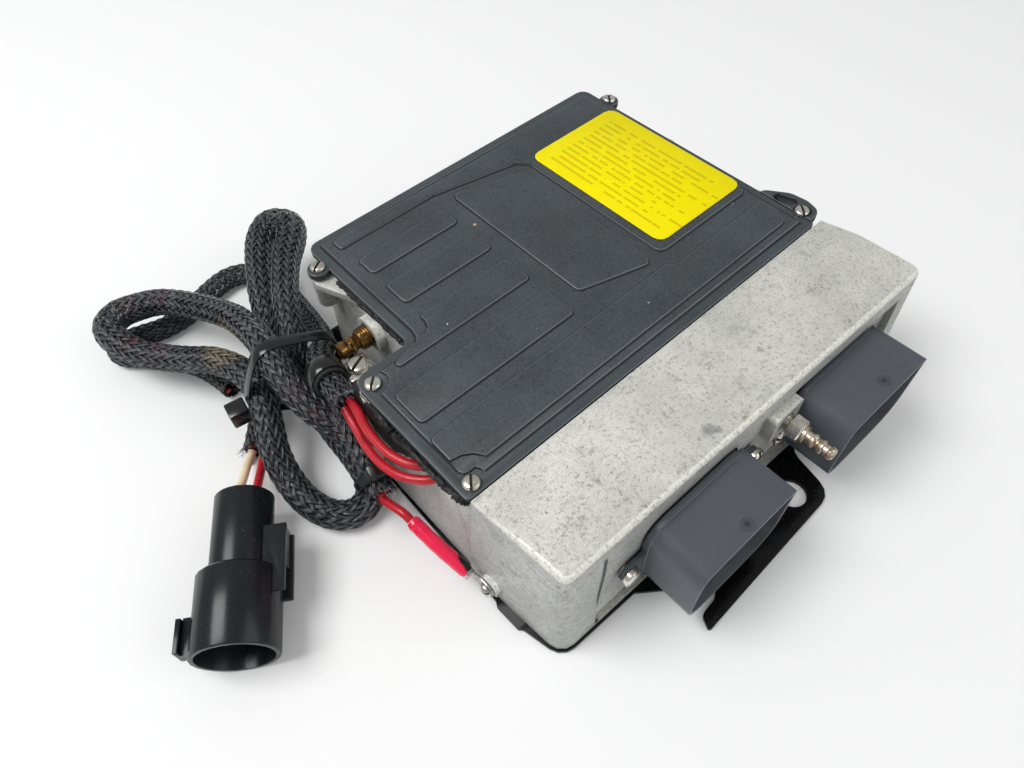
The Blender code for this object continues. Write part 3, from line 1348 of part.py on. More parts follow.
def build():
    shade(housing())
    cover()
    label_panel()
    cover_gasket()
    for i, (x, y) in enumerate(COVER_SCREWS):
        pan_screw(f"cover_screw_{i + 1}", (x, y, FLANGE_TOP), turn=0.6 + 0.9 * i)
    for side, x in HEADERS.items():
        header(side, x)
        terminals(side, x)
        header_gasket(side, x)
    for i, (x, y, z) in enumerate(header_screw_places()):
        y -= 0.001 + GAP + HEADER_FLANGE - 0.0004
        pan_screw(f"header_screw_{i + 1}", (x, y, z), (0, -1, 0), 0.5 + i, 0.0078, HEADER_SCREW_HEAD,
                  HEADER_SCREW_RISE)
    header_key()
    base_plate()
    for i, (x, y) in enumerate(BASE_SCREWS):
        base_screw(i + 1, x, y)
    hose_barb()
    brass_fitting()
    circuit_board()
    board_parts()
    for i, (x, y) in enumerate(BOARD_SCREWS):
        pan_screw(f"board_screw_{i + 1}", (x, y, BOARD_TOP), turn=0.3 * i, length=0.0080)
    clip()
    inlet_seal()
    inlet_wires()
    ground_lead()
    harness()
    ties()
    plug()


build()
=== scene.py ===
"""Dresses the engine control unit: cast housing, moulded lid, sockets, braided harness and plug."""
import json
import math
import random

import bmesh
import bpy
from mathutils import Matrix, Vector


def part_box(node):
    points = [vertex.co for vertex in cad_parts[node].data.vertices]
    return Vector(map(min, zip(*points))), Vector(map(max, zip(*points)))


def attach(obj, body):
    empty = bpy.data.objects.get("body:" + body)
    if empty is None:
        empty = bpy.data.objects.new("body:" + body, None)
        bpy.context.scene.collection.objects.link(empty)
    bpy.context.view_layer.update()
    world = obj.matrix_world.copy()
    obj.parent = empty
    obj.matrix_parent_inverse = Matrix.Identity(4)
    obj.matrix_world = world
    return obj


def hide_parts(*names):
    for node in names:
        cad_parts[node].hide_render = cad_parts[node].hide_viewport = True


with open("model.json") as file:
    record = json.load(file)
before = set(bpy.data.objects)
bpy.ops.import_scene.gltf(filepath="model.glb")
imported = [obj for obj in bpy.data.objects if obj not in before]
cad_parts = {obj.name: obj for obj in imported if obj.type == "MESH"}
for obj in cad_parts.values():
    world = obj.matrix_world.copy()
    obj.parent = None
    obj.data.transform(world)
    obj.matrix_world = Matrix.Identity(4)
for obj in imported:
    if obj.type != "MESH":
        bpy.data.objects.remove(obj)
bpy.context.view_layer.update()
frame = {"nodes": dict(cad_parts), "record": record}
MM = 0.001
TURN = 2 * math.pi
UP = Vector((0, 0, 1))


def mm(rows):
    """Places or profiles that are given in millimetres, in metres."""
    return [tuple(value / 1000 for value in row) for row in rows]


def linked(name, data):
    made = bpy.data.objects.new(name, data)
    bpy.context.scene.collection.objects.link(made)
    return made


# Camera, at the photograph's own place

def look():
    right = Vector((0.74436, -0.66708, -0.03047))
    up = Vector((0.55457, 0.59212, 0.58468))
    ahead = Vector((0.37199, 0.45211, -0.81069))
    data = bpy.data.cameras.new("camera")
    data.lens = 25.755
    data.sensor_width = 36.0
    data.sensor_fit = "HORIZONTAL"
    data.clip_start = 0.01
    camera = linked("camera", data)
    turn = Matrix((right, up, -ahead)).transposed().to_4x4()
    camera.matrix_world = Matrix.Translation((-0.198845, -0.183637, 0.361542)) @ turn
    bpy.context.scene.camera = camera


look()


# Node trees: one class wraps a socket so that arithmetic adds nodes

class Field:
    """A number or a vector that varies over a surface or a geometry."""

    def __init__(self, graph, socket):
        self.graph = graph
        self.socket = socket


def operator(operation, swapped=False):
    """A method that feeds a field, and what it meets, to one kind of maths node."""
    def method(self, *others):
        values = (self, *others)
        return self.graph.get("ShaderNodeMath", {"operation": operation}, values[::-1] if swapped else values)
    return method


for word, operation in (("add", "ADD"), ("sub", "SUBTRACT"), ("mul", "MULTIPLY"), ("truediv", "DIVIDE")):
    setattr(Field, f"__{word}__", operator(operation))
    setattr(Field, f"__r{word}__", operator(operation, True))
for word, operation in (
    ("__mod__", "FLOORED_MODULO"), ("above", "GREATER_THAN"), ("below", "LESS_THAN"), ("floor", "FLOOR"),
    ("cos", "COSINE"), ("sin", "SINE"), ("size", "ABSOLUTE"),
):
    setattr(Field, word, operator(operation))


class Graph:
    """A node tree with one method for any node."""

    def __init__(self, tree):
        self.tree = tree

    def node(self, kind, settings=None, values=()):
        made = self.tree.nodes.new(kind)
        for key, value in (settings or {}).items():
            setattr(made, key, value)
        pairs = values.items() if isinstance(values, dict) else enumerate(values)
        for key, value in pairs:
            if isinstance(value, Field):
                self.tree.links.new(value.socket, made.inputs[key])
            elif value is not None:
                made.inputs[key].default_value = value
        return made

    def out(self, made, key=0):
        return Field(self, made.outputs[key])

    def get(self, kind, settings=None, values=(), key=0):
        """One output of a new node."""
        return self.out(self.node(kind, settings, values), key)

    def geo(self, kind, values=(), settings=None, key=0):
        """One output of a new geometry node."""
        return self.get("GeometryNode" + kind, settings, values, key)

    def vector(self, operation, *values):
        key = "Value" if operation == "LENGTH" else "Vector"
        return self.get("ShaderNodeVectorMath", {"operation": operation}, values, key)

    def scaled(self, vector, factor):
        return self.get("ShaderNodeVectorMath", {"operation": "SCALE"}, {"Vector": vector, "Scale": factor})

    def joined(self, x, y, z):
        return self.get("ShaderNodeCombineXYZ", None, (x, y, z))


class Finish(Graph):
    """A procedural material on a Principled shader; paint lays one colour over another by a mask."""

    def __init__(self, name, roughness=0.5, metallic=0.0, coat=0.0, specular=0.5):
        self.material = bpy.data.materials.new(name)
        self.material.use_nodes = True
        super().__init__(self.material.node_tree)
        self.shader = self.tree.nodes["Principled BSDF"]
        for socket, value in (
            ("Roughness", roughness), ("Metallic", metallic), ("Coat Weight", coat), ("Coat Roughness", 0.1),
            ("Specular IOR Level", specular),
        ):
            self.feed(socket, value)
        self.normal = None
        self.tone = None
        self.place = self.get("ShaderNodeTexCoord", key="Object")

    def feed(self, socket, value):
        if isinstance(value, Field):
            self.tree.links.new(value.socket, self.shader.inputs[socket])
        else:
            self.shader.inputs[socket].default_value = (*value, 1.0) if isinstance(value, tuple) else value

    def noise(self, scale, detail=3.0, roughness=0.5, stretch=None, shift=0.0):
        where = self.place
        if stretch or shift:
            where = self.get("ShaderNodeMapping", None, {
                "Vector": where, "Location": (shift, shift * 0.7, shift * 1.3), "Scale": stretch or (1, 1, 1),
            })
        return self.get("ShaderNodeTexNoise", None, {
            "Vector": where, "Scale": scale, "Detail": detail, "Roughness": roughness,
        })

    def range(self, value, low, high, to_low=0.0, to_high=1.0):
        values = (value, low, high, to_low, to_high)
        return self.get("ShaderNodeMapRange", {"interpolation_type": "SMOOTHSTEP"}, values)

    def blotch(self, low, high, *noise):
        """One where a noise is above high, nought where it is below low."""
        return self.range(self.noise(*noise), low, high)

    def mix(self, mask, a, b):
        colours = [(*c, 1.0) if isinstance(c, tuple) else c for c in (a, b)]
        return self.get("ShaderNodeMix", {"data_type": "RGBA"}, {0: mask, 6: colours[0], 7: colours[1]}, 2)

    def paint(self, mask, colour, under=None):
        """Lays a colour over the tone so far, or over the one given under it."""
        self.tone = self.mix(mask, under or self.tone, colour)
        self.feed("Base Color", self.tone)

    def bump(self, height, distance, strength=1.0):
        values = {"Height": height, "Distance": distance, "Strength": strength}
        if self.normal:
            values["Normal"] = self.normal
        self.normal = self.get("ShaderNodeBump", None, values, "Normal")
        self.feed("Normal", self.normal)

    def axis(self, vector, letter):
        return self.get("ShaderNodeSeparateXYZ", None, (vector,), "XYZ".index(letter))

    def attribute(self, name):
        return self.get("ShaderNodeAttribute", {"attribute_name": name}, key="Fac")

    def spot(self, centre, radius, soft=0.3, ragged=0.0):
        """One inside a ball, in millimetres, and nought outside, with a soft or ragged edge."""
        centre = tuple(c * MM for c in centre)
        away = self.vector("LENGTH", self.vector("SUBTRACT", self.place, centre)) / (radius * MM)
        if ragged:
            away = away + (self.noise(420, 4, 0.7) - 0.5) * ragged
        return self.range(away, 1.0 + soft / 2, 1.0 - soft / 2)


def srgb(r, g, b):
    return tuple(c / 255 / 12.92 if c <= 10 else ((c / 255 + 0.055) / 1.055) ** 2.4 for c in (r, g, b))


def cast_metal(name, light):
    """Sand-cast aluminium: sandy grain, dark pits, stains and scratches, with a painted highlight on fillets, side
    walls painted darker and a painted shaded groove on the front.
    """
    made = Finish(name, 0.6, 0.3)
    sand = made.noise(620, 5, 0.75)
    fine = made.noise(2300, 2, 0.6)
    mottle = made.noise(150, 4, 0.65)
    cloud = made.noise(24, 4, 0.6)
    up = made.axis(made.get("ShaderNodeNewGeometry", key="Normal"), "Z")

    def shade(share):
        return srgb(*[min(255, c * share) for c in light])

    made.paint(made.range(cloud, 0.32, 0.68), shade(1.0), shade(0.9))
    made.paint(made.range(mottle, 0.42, 0.66) * 0.26, shade(0.8))
    made.paint(made.range(sand, 0.48, 0.34) * 0.75, shade(0.56))
    made.paint(made.range(fine, 0.54, 0.66) * 0.6, shade(1.15))
    made.paint(made.range(fine, 0.46, 0.34) * 0.5, shade(0.66))
    cluster = made.blotch(0.54, 0.66, 75, 5, 0.75, None, 6.0) * made.range(sand, 0.6, 0.42)
    made.paint(cluster * 0.55, srgb(126, 122, 108))
    # Brushed lines on the side walls, which are also painted darker and bluer than the top: partly painted shade.
    side = made.range(up.size(), 0.5, 0.2)
    brushed = made.noise(300, 3, 0.6, (0.4, 0.4, 4.0))
    made.paint(side * made.range(brushed, 0.3, 0.75, 0.16, 0.5), srgb(129, 135, 142))
    pits = made.blotch(0.64, 0.7, 620, 6, 0.85, None, 3.1) * made.range(mottle, 0.42, 0.6)
    pits = pits * made.range(cloud, 0.3, 0.6, 0.25, 1.0)
    made.paint(pits * 0.75, srgb(95, 89, 75))
    stain = made.blotch(0.58, 0.7, 46, 6, 0.7, (1.0, 1.6, 1.0), 5.0)
    made.paint(stain * 0.26, srgb(135, 135, 133))
    for *centre, radius in CAST_STAINS:
        made.paint(made.spot(centre, radius, 0.9, 1.8) * 0.55, srgb(109, 111, 115))
    # Painted highlight: a lighter band where the normal turns from up towards the side, on fillets and bevels.
    fillet = made.range(up + (sand - 0.5) * 0.06, 0.975, 0.9) * made.range(up, 0.12, 0.45)
    made.paint(fillet * made.range(sand, 0.35, 0.6, 0.25, 0.85), shade(1.1))
    scratch = made.blotch(0.66, 0.69, 60, 4, 0.85, (1.0, 16.0, 1.0), 9.0) * made.range(cloud, 0.48, 0.58)
    made.paint(scratch * 0.6, srgb(247, 247, 247))
    # Painted shade: a dark slanting line down the front wall for a groove that is only bumped, not cut in the mesh.
    x = made.axis(made.place, "X")
    z = made.axis(made.place, "Z")
    away = (x - (z * GROOVE_LEAN + GROOVE_X)).size()
    front = made.axis(made.place, "Y").below(-0.108) * z.above(0.004)
    shaded_groove = made.range(away, 0.0015, 0.0007) * front * made.range(z, 0.0705, 0.069)
    made.paint(shaded_groove * 0.9, srgb(52, 54, 54))
    made.feed("Roughness", made.range(sand, 0.3, 0.7, 0.7, 0.46))
    made.bump(sand, 0.36 * MM, 0.65)
    made.bump(fine, 0.1 * MM, 0.4)
    made.bump(1 - pits, 0.35 * MM, 0.7)
    made.bump(1 - shaded_groove, 0.8 * MM, 0.8)
    return made.material


def moulded(name, colour, roughness, grain_scale, grain_depth, dust, coat, scuffs, contrast, shine=0.5,
            marks=(), rings=()):
    """Moulded plastic: grain, dust specks, light scuffs, flecks and ejector rings whose dents are painted darker as
    painted shade.
    """
    made = Finish(name, roughness, 0.0, coat, shine)
    colour = srgb(*colour)

    def shade(share):
        return tuple(c * share for c in colour)

    grain = made.noise(grain_scale, 3, 0.7)
    cloud = made.noise(20, 4, 0.6)
    specks = made.blotch(0.7, 0.78, 1900, 1, 0.5) * made.blotch(0.4, 0.62, 60, 3)
    rubs = made.blotch(0.6, 0.7, 150, 6, 0.8, (1.0, 0.16, 1.0)) * made.range(cloud, 0.5, 0.62)
    hairs = made.blotch(0.675, 0.7, 75, 4, 0.9, (14.0, 1.0, 1.0), 2.0) * made.range(cloud, 0.42, 0.56)
    pale = tuple(min(1.0, c * 2.1 + 0.035) for c in colour)
    made.paint(made.range(cloud, 0.32, 0.68), shade(1 + contrast * 1.5), colour)
    made.paint(made.range(grain, 0.46, 0.3), shade(1 - contrast * 2.2))
    made.paint(made.range(grain, 0.54, 0.72), shade(1 + contrast * 2.6))
    made.paint(rubs * scuffs, pale)
    made.paint(hairs * scuffs * 0.8, pale)
    made.paint(specks * dust, (0.3, 0.3, 0.28))
    for *centre, radius, fleck in marks:
        made.paint(made.spot(centre, radius, 0.4, 1.6), srgb(*fleck))
    for *centre, radius in rings:
        dish = made.spot(centre, radius, 0.35)
        pip = made.spot(centre, radius * 0.35, 0.5, 1.2)
        # The ejector dent and its pip are painted darker: painted shade.
        made.paint(dish * 0.55, shade(0.55))
        made.paint(pip * 0.9, shade(0.25))
        made.bump(1 - dish, 0.25 * MM, 0.8)
    made.feed("Roughness", made.range(cloud, 0.35, 0.65, roughness * 0.9, roughness * 1.15) + rubs * 0.15)
    if grain_depth:
        made.bump(grain, grain_depth * MM, 0.5)
    return made.material


def plated(name, light, dark, roughness, rot, rot_colour=(104, 75, 46), reach=0.55):
    """Plated or bare metal with tarnish in patches."""
    made = Finish(name, roughness, 1.0)
    cloud = made.noise(260, 5, 0.65)
    spots = made.range(made.noise(900, 4, 0.7), reach, reach + 0.11) * made.range(cloud, reach - 0.13, reach + 0.05)
    made.paint(made.range(cloud, 0.35, 0.65), srgb(*dark), srgb(*light))
    made.paint(spots * rot, srgb(*rot_colour))
    made.feed("Metallic", 1 - spots * rot)
    made.feed("Roughness", made.range(cloud, 0.3, 0.7, roughness * 0.8, roughness * 1.3) + spots * rot * 0.4)
    made.bump(made.noise(1800, 3), 0.03 * MM, 0.3)
    return made.material


def coated(name, colour, roughness, dirt, dirt_amount, coat=0.0, patches=()):
    """Wire insulation or shrink tube: near even, with handling dirt and black patches."""
    made = Finish(name, roughness, 0.0, coat)
    patch = made.blotch(0.52, 0.7, 95, 4, 0.65)
    made.paint(patch * dirt_amount, srgb(*dirt), srgb(*colour))
    for *centre, radius in patches:
        made.paint(made.spot(centre, radius, 0.15, 0.5), srgb(18, 17, 18))
    made.feed("Roughness", made.range(made.noise(300, 3), 0.3, 0.7, roughness * 0.85, roughness * 1.2))
    made.bump(made.noise(700, 2), 0.04 * MM, 0.4)
    return made.material


def braid_finish():
    """Flat bundles of black filament running along each strand, with painted sheen and glints, and painted shade
    between filaments and at strand edges.
    """
    made = Finish("braid_filament", 0.25, 0.0, 0.0, 0.75)
    across = made.attribute("strand_across")
    along = made.attribute("strand_along")
    lines = (across * (TURN * 3.5)).cos()
    patch = made.noise(80, 4, 0.6)
    dull = made.blotch(0.45, 0.7, 230, 3, 0.6, None, 4.0)
    # Filament crests painted lighter than the creases between them: painted sheen and painted shade.
    made.paint(made.range(lines, -0.1, -0.95), srgb(9, 9, 11), srgb(66, 70, 77))
    # Strand edges painted darker where they dip under their neighbours: painted shade.
    made.paint(made.range(across.size(), 0.28, 0.44) * 0.9, srgb(10, 10, 12))
    made.paint(dull * 0.55, srgb(24, 25, 28))
    # Painted sheen in patches.
    made.paint(made.range(patch, 0.54, 0.74) * 0.6, srgb(124, 126, 130))
    # Painted glints along the filament crests.
    glint = made.range(lines, 0.45, 0.95) * made.blotch(0.5, 0.6, 330, 2, 0.5, None, 8.0)
    made.paint(glint * 0.55, srgb(158, 162, 168))
    clay = made.spot((-153, 125, 43), 12, 0.9, 1.6)
    made.paint(clay * 0.55, srgb(169, 151, 113))
    between = made.range(across, 0.24, 0.36) * made.range(dull, 0.75, 0.35)
    for *centre, radius in RED_GLIMPSES:
        made.paint(made.spot(centre, radius, 0.9, 1.0) * between * 0.8, srgb(158, 19, 44))
    # Painted pale glints between the strands at a few loose places.
    gap_glints = made.range(across.size(), 0.33, 0.4) * made.blotch(0.56, 0.6, 520, 2)
    for *centre, radius in PALE_GLINT_SPOTS:
        made.paint(made.spot(centre, radius, 0.9, 0.8) * gap_glints * 0.9, srgb(222, 226, 230))
    made.feed("Roughness", made.range(patch, 0.3, 0.7, 0.13, 0.3) + (along * 900).sin() * 0.03)
    made.bump(lines, 0.18 * MM, 0.8)
    return made.material


def label_finish():
    """A yellow field with rows of plain dashes, rubbed and a little dirty in patches."""
    made = Finish("label_yellow", 0.42, 0.0, 0.0, 0.12)
    cloud = made.noise(120, 4)
    rub = made.blotch(0.6, 0.7, 420, 4, 0.7) * made.blotch(0.5, 0.66, 40, 2)
    made.paint(made.range(cloud, 0.3, 0.7) * 0.4, srgb(247, 220, 0), srgb(247, 235, 0))
    x = made.axis(made.place, "X")
    y = made.axis(made.place, "Y")
    row = (0.1105 - x) / 0.0046
    bar = ((row % 1.0) - 0.5).size().below(0.17)
    number = row.floor()
    gap = made.get("ShaderNodeTexNoise", {"noise_dimensions": "2D"}, {
        "Vector": made.joined(y * 210, number * 7.3, 0.0), "Scale": 1.0, "Detail": 1.0,
    })
    ends = (number * 2.6).sin() * 0.012 - 0.002
    dashes = bar * gap.above(0.42) * y.above(ends) * y.below(0.08) * x.above(0.0565) * x.below(0.109)
    made.paint(dashes * 0.42, srgb(169, 127, 0))
    made.paint(rub * 0.25, srgb(211, 189, 57))
    made.feed("Roughness", made.range(cloud, 0.3, 0.7, 0.36, 0.52))
    made.bump(made.noise(260, 3), 0.05 * MM, 0.3)
    return made.material


def painted():
    """Gloss black paint with dust, bare at a few chips."""
    made = Finish("black_paint", 0.2, 0.0, 0.05, 0.22)
    cloud = made.noise(30, 3)
    chips = made.blotch(0.69, 0.73, 230, 5, 0.7)
    dust = made.blotch(0.64, 0.74, 1300, 2)
    made.paint(dust * 0.22, srgb(124, 122, 115), srgb(14, 14, 16))
    made.paint(chips * 0.8, srgb(135, 127, 113))
    made.feed("Roughness", made.range(cloud, 0.3, 0.7, 0.16, 0.34) + chips * 0.4)
    made.bump(1 - chips, 0.08 * MM, 0.5)
    return made.material


# Where the painted groove shade runs down the casting's front.
GROOVE_X = -0.1006
GROOVE_LEAN = 0.058
CAST_STAINS = ((-22.3, -106.1, 80, 3), (-19, -108.8, 80, 1.8))
RED_GLIMPSES = (
    (-140.5, 42, 56, 6), (-137.6, 27, 48, 5), (-142.5, 56, 61, 5),
    (-193, 176, 35, 6), (-183, 157, 36, 6.5), (-180, 206, 36, 6),
    (-162, 194, 38, 6),
)
# Places and radii of the painted pale glints on the braid, in millimetres.
PALE_GLINT_SPOTS = (
    (-73.5, 185, 44, 12), (-79, 200, 44, 11), (-197, 203, 33, 15),
    (-189, 209, 33, 10), (-124, 210, 12, 13),
)
SOCKET_RINGS = ((-37.6, -143.8, 64, 3.8), (73.1, -141.6, 64, 3.8))
SHRINK_PATCHES = ((-130.6, -56, 20, 3.6), (-130.2, -59.6, 19, 3.6))
LID_MARKS = ((-12.5, 68.1, 83, 1.1, (198, 169, 122)), (103.7, -19.4, 83, 0.8, (231, 229, 220)),
             (13, -38, 83, 0.7, (189, 180, 158)), (-70, 21, 83, 0.6, (214, 211, 202)))
CAST = cast_metal("cast_aluminium", (227, 227, 219))
# A darker copy of the casting for its inside corners: painted shade.
CAST_CORNER_SHADE = cast_metal("cast_aluminium_grimy", (169, 169, 163))
LID, LID_EDGE_HIGHLIGHT, LID_FOOT, SOCKET, SOCKET_EDGE_HIGHLIGHT, PLUG, TIE, VINYL, RUBBER, SEALANT, CHIP, BOARD, KEY = (
    # name, colour, roughness, grain's scale and depth in mm, dust, coat, scuffs, contrast, shine, marks, rings
    moulded(*row) for row in (
        ("lid_plastic", (57, 63, 67), 0.46, 1000, 0.2, 0.55, 0.0, 0.5, 0.3, 0.5, LID_MARKS),
        # A lighter copy of the lid plastic for its upper edges: painted highlight.
        ("lid_plastic_rubbed", (92, 98, 103), 0.4, 1300, 0.06, 0.4, 0.0, 0.6, 0.1),
        ("lid_plastic_shaded", (24, 27, 30), 0.6, 1300, 0.06, 0.3, 0.0, 0.2, 0.1),
        ("socket_plastic", (76, 81, 88), 0.38, 1500, 0.05, 0.3, 0.0, 0.6, 0.05, 0.5, (), SOCKET_RINGS),
        # A lighter copy of the socket plastic for all its rounded edges: painted highlight.
        ("socket_plastic_rubbed", (118, 122, 131), 0.34, 1500, 0.03, 0.3, 0.0, 0.6, 0.05),
        ("plug_plastic", (24, 27, 31), 0.24, 900, 0.03, 0.6, 0.0, 0.9, 0.14, 0.34),
        ("tie_nylon", (19, 21, 23), 0.2, 900, 0.01, 0.2, 0.2, 0.3, 0.03),
        ("clip_vinyl", (14, 15, 17), 0.2, 700, 0.02, 0.25, 0.3, 0.3, 0.03),
        ("rubber", (35, 35, 36), 0.72, 700, 0.2, 0.3, 0.0, 0.3, 0.05),
        ("sealant", (26, 26, 28), 0.55, 520, 0.45, 0.5, 0.0, 0.3, 0.12),
        ("insulator", (40, 40, 42), 0.5, 900, 0.03, 0.2, 0.0, 0.2, 0.03),
        ("board_green", (46, 109, 66), 0.35, 600, 0.0, 0.2, 0.2, 0.1, 0.03),
        ("key_green", (64, 169, 95), 0.45, 900, 0.03, 0.2, 0.0, 0.2, 0.03),
    )
)
PAINT = painted()
NICKEL, TIN, CORRODED, SLOT_SHADE, BRASS = (
    # name, light and dark tones, roughness, rot, its colour, how high the noise must be for it
    plated(*row) for row in (
        ("nickel", (243, 240, 233), (198, 193, 180), 0.25, 0.35),
        ("tinned_copper", (225, 225, 222), (169, 167, 162), 0.34, 0.4),
        ("corroded_nickel", (238, 231, 216), (169, 149, 118), 0.32, 0.95, (98, 64, 37), 0.47),
        ("screw_slot", (92, 88, 80), (48, 44, 38), 0.55, 0.8),
        ("old_brass", (176, 134, 74), (72, 52, 30), 0.26, 0.85, (44, 33, 22), 0.5),
    )
)
YELLOW = label_finish()
BRAID = braid_finish()
RED, RED_SHADED, CLAY, CREAM, SHRINK = (
    # name, colour, roughness, dirt's colour and amount, coat, black patches
    coated(*row) for row in (
        ("wire_red", (193, 26, 42), 0.3, (100, 26, 28), 0.45),
        # A darker copy of the red insulation for the wires inside the braid: painted shade.
        ("wire_red_inside", (144, 19, 33), 0.4, (69, 13, 17), 0.4),
        ("wire_clay_inside", (84, 69, 51), 0.5, (35, 28, 24), 0.4),
        ("wire_cream", (247, 231, 193), 0.42, (189, 153, 104), 0.5),
        ("shrink_red", (247, 24, 77), 0.2, (169, 19, 55), 0.25, 0.3, SHRINK_PATCHES),
    )
)

SLOT_FINISH = {
    "cast": CAST, "cover": LID, "socket": SOCKET, "plug": PLUG, "plate": PAINT, "seal": RUBBER,
    "nickel": NICKEL, "brass": BRASS, "label": YELLOW, "board": BOARD, "key": KEY, "chip": CHIP,
    "braid": BRAID, "red": RED, "cream": CREAM, "shrink": SHRINK,
}
NODE_SLOT = {s["node"]: s["material_slot"] for s in frame["record"]["subparts"]}


# Meshes

def piece(name, mesh, finish=None, node=None):
    """A finished piece on the object's one body, in place of a CAD node if one is given."""
    made = linked(name, mesh)
    if finish:
        mesh.materials.clear()
        mesh.materials.append(finish)
    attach(made, "root")
    if node:
        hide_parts(node)
    return made


def mesh_from(shape, name):
    mesh = bpy.data.meshes.new(name)
    shape.to_mesh(mesh)
    shape.free()
    return mesh


def shaped(name, shape, angle, finish, node=None):
    """A piece of a new shape, with its faces turned outwards and smooth below an angle."""
    bmesh.ops.recalc_face_normals(shape, faces=shape.faces)
    return piece(name, smooth(mesh_from(shape, name), angle), finish, node)


def settled(made):
    """The object's mesh with its modifiers made real, and the modifiers gone."""
    bpy.context.view_layer.update()
    evaluated = made.evaluated_get(bpy.context.evaluated_depsgraph_get())
    mesh = bpy.data.meshes.new_from_object(evaluated)
    old = made.data
    made.modifiers.clear()
    if made.type == "MESH":
        made.data = mesh
        bpy.data.meshes.remove(old)
    return mesh


def smooth(mesh, angle):
    mesh.shade_smooth()
    mesh.set_sharp_from_angle(angle=math.radians(angle))
    return mesh


def softened(node, width, finish, edge=None, segments=2, angle=42.0, foot=None, weld=0.01, prepare=None):
    """A merged copy of a CAD node with rounded edges; rounded strips take the edge's finish, and in inside corners the
    foot's finish, a darker copy that paints shade there. Millimetres.
    """
    shape = bmesh.new()
    shape.from_mesh(frame["nodes"][node].data)
    bmesh.ops.remove_doubles(shape, verts=shape.verts, dist=weld * MM)
    bmesh.ops.dissolve_limit(shape, angle_limit=math.radians(0.6), verts=shape.verts, edges=shape.edges)
    if prepare:
        prepare(shape)
    mesh = mesh_from(shape, node + "_finished")
    made = piece(node + "_finished", mesh, None, node)
    for each in (finish, edge or finish, foot or finish):
        mesh.materials.append(each)
    bevel = made.modifiers.new("round", "BEVEL")
    for key, value in (
        ("width", width * MM), ("segments", segments), ("limit_method", "ANGLE"), ("angle_limit", math.radians(angle)),
        ("use_clamp_overlap", True), ("miter_outer", "MITER_ARC"), ("material", 1),
    ):
        setattr(bevel, key, value)
    settled(made)
    if foot:
        mark_feet(made.data)
    smooth(made.data, 50)
    return made


def mark_feet(mesh):
    """Bevel strips in inside corners change from the edge's finish to the foot's, which paints shade there."""
    shape = bmesh.new()
    shape.from_mesh(mesh)
    for face in shape.faces:
        if face.material_index == 1:
            middle = face.calc_center_median()
            beside = [other for edge in face.edges for other in edge.link_faces if other != face]
            if sum((other.calc_center_median() - middle).dot(face.normal) for other in beside) > 0:
                face.material_index = 2
    shape.to_mesh(mesh)
    shape.free()


def frames(points):
    """Unit (along, side, up) at each point of a line, turning as little as may be."""
    points = [Vector(p) for p in points]
    ends = [points[0], *points, points[-1]]
    alongs = [(after - before).normalized() for before, after in zip(ends, ends[2:])]
    side = alongs[0].cross(UP).normalized()
    result = []
    for along in alongs:
        side = (side - along * side.dot(along)).normalized()
        result.append((along, side, along.cross(side)))
    return result


def smooth_line(route, per_span=4):
    """Points on a smooth curve through all of a route's own points."""
    points = [Vector(p) for p in route]
    points = [2 * points[0] - points[1], *points, 2 * points[-1] - points[-2]]
    line = []
    for a, b, c, d in zip(points, points[1:], points[2:], points[3:]):
        for k in range(per_span):
            t = k / per_span
            line.append(0.5 * (2 * b + (c - a) * t + (2 * a - 5 * b + 4 * c - d) * t**2
                               + (3 * b - a - 3 * c + d) * t**3))
    return line + [points[-2]]


def around(side, up, angle):
    return side * math.cos(angle) + up * math.sin(angle)


def skin(shape, rings, loop=False):
    """Faces from ring to ring, with a cap at both ends unless the rings close on themselves."""
    for a, b in zip(rings, rings[1:] + rings[:1] if loop else rings[1:]):
        for k in range(len(a)):
            n = (k + 1) % len(a)
            shape.faces.new((a[k], a[n], b[n], b[k]))
    if not loop:
        shape.faces.new(rings[0])
        shape.faces.new(rings[-1])


def tube(name, line, radii, finish, node=None, sides=14, lump=lambda: 1.0):
    """A round tube along a line, with closed ends; lump gives each vertex its share of the radius."""
    shape = bmesh.new()
    rings = []
    for point, radius, (along, side, up) in zip(line, radii, frames(line)):
        rings.append([
            shape.verts.new(Vector(point) + around(side, up, TURN * k / sides) * (radius * lump()))
            for k in range(sides)
        ])
    skin(shape, rings)
    return shaped(name, shape, 45, finish, node)


def lathe(profile, steps):
    """A closed surface of revolution about Z from (radius, height) pairs in millimetres, top to bottom."""
    shape = bmesh.new()
    rings = []
    for radius, height in mm(profile):
        angles = [TURN * k / steps for k in range(steps if radius > 0 else 1)]
        rings.append([shape.verts.new((radius * math.cos(a), radius * math.sin(a), height)) for a in angles])
    for a, b in zip(rings, rings[1:]):
        for k in range(steps):
            n = (k + 1) % steps
            corners = list(dict.fromkeys((a[k % len(a)], a[n % len(a)], b[n % len(b)], b[k % len(b)])))
            if len(corners) > 2:
                shape.faces.new(corners)
    return shape


# Wound strands by Geometry Nodes: braid, twisted wires and screw threads

def group(name, inputs):
    """A geometry tree's start: the tree's graph and its inputs by name."""
    tree = bpy.data.node_groups.new(name, "GeometryNodeTree")
    face = tree.interface
    face.new_socket("Geometry", in_out="INPUT", socket_type="NodeSocketGeometry")
    for kind, names in (*inputs.items(), ("Material", ("Material",))):
        for each in names:
            face.new_socket(each, in_out="INPUT", socket_type="NodeSocket" + kind)
    face.new_socket("Geometry", in_out="OUTPUT", socket_type="NodeSocketGeometry")
    g = Graph(tree)
    entry = g.node("NodeGroupInput")
    return g, {socket.name: Field(g, socket) for socket in entry.outputs if socket.name}


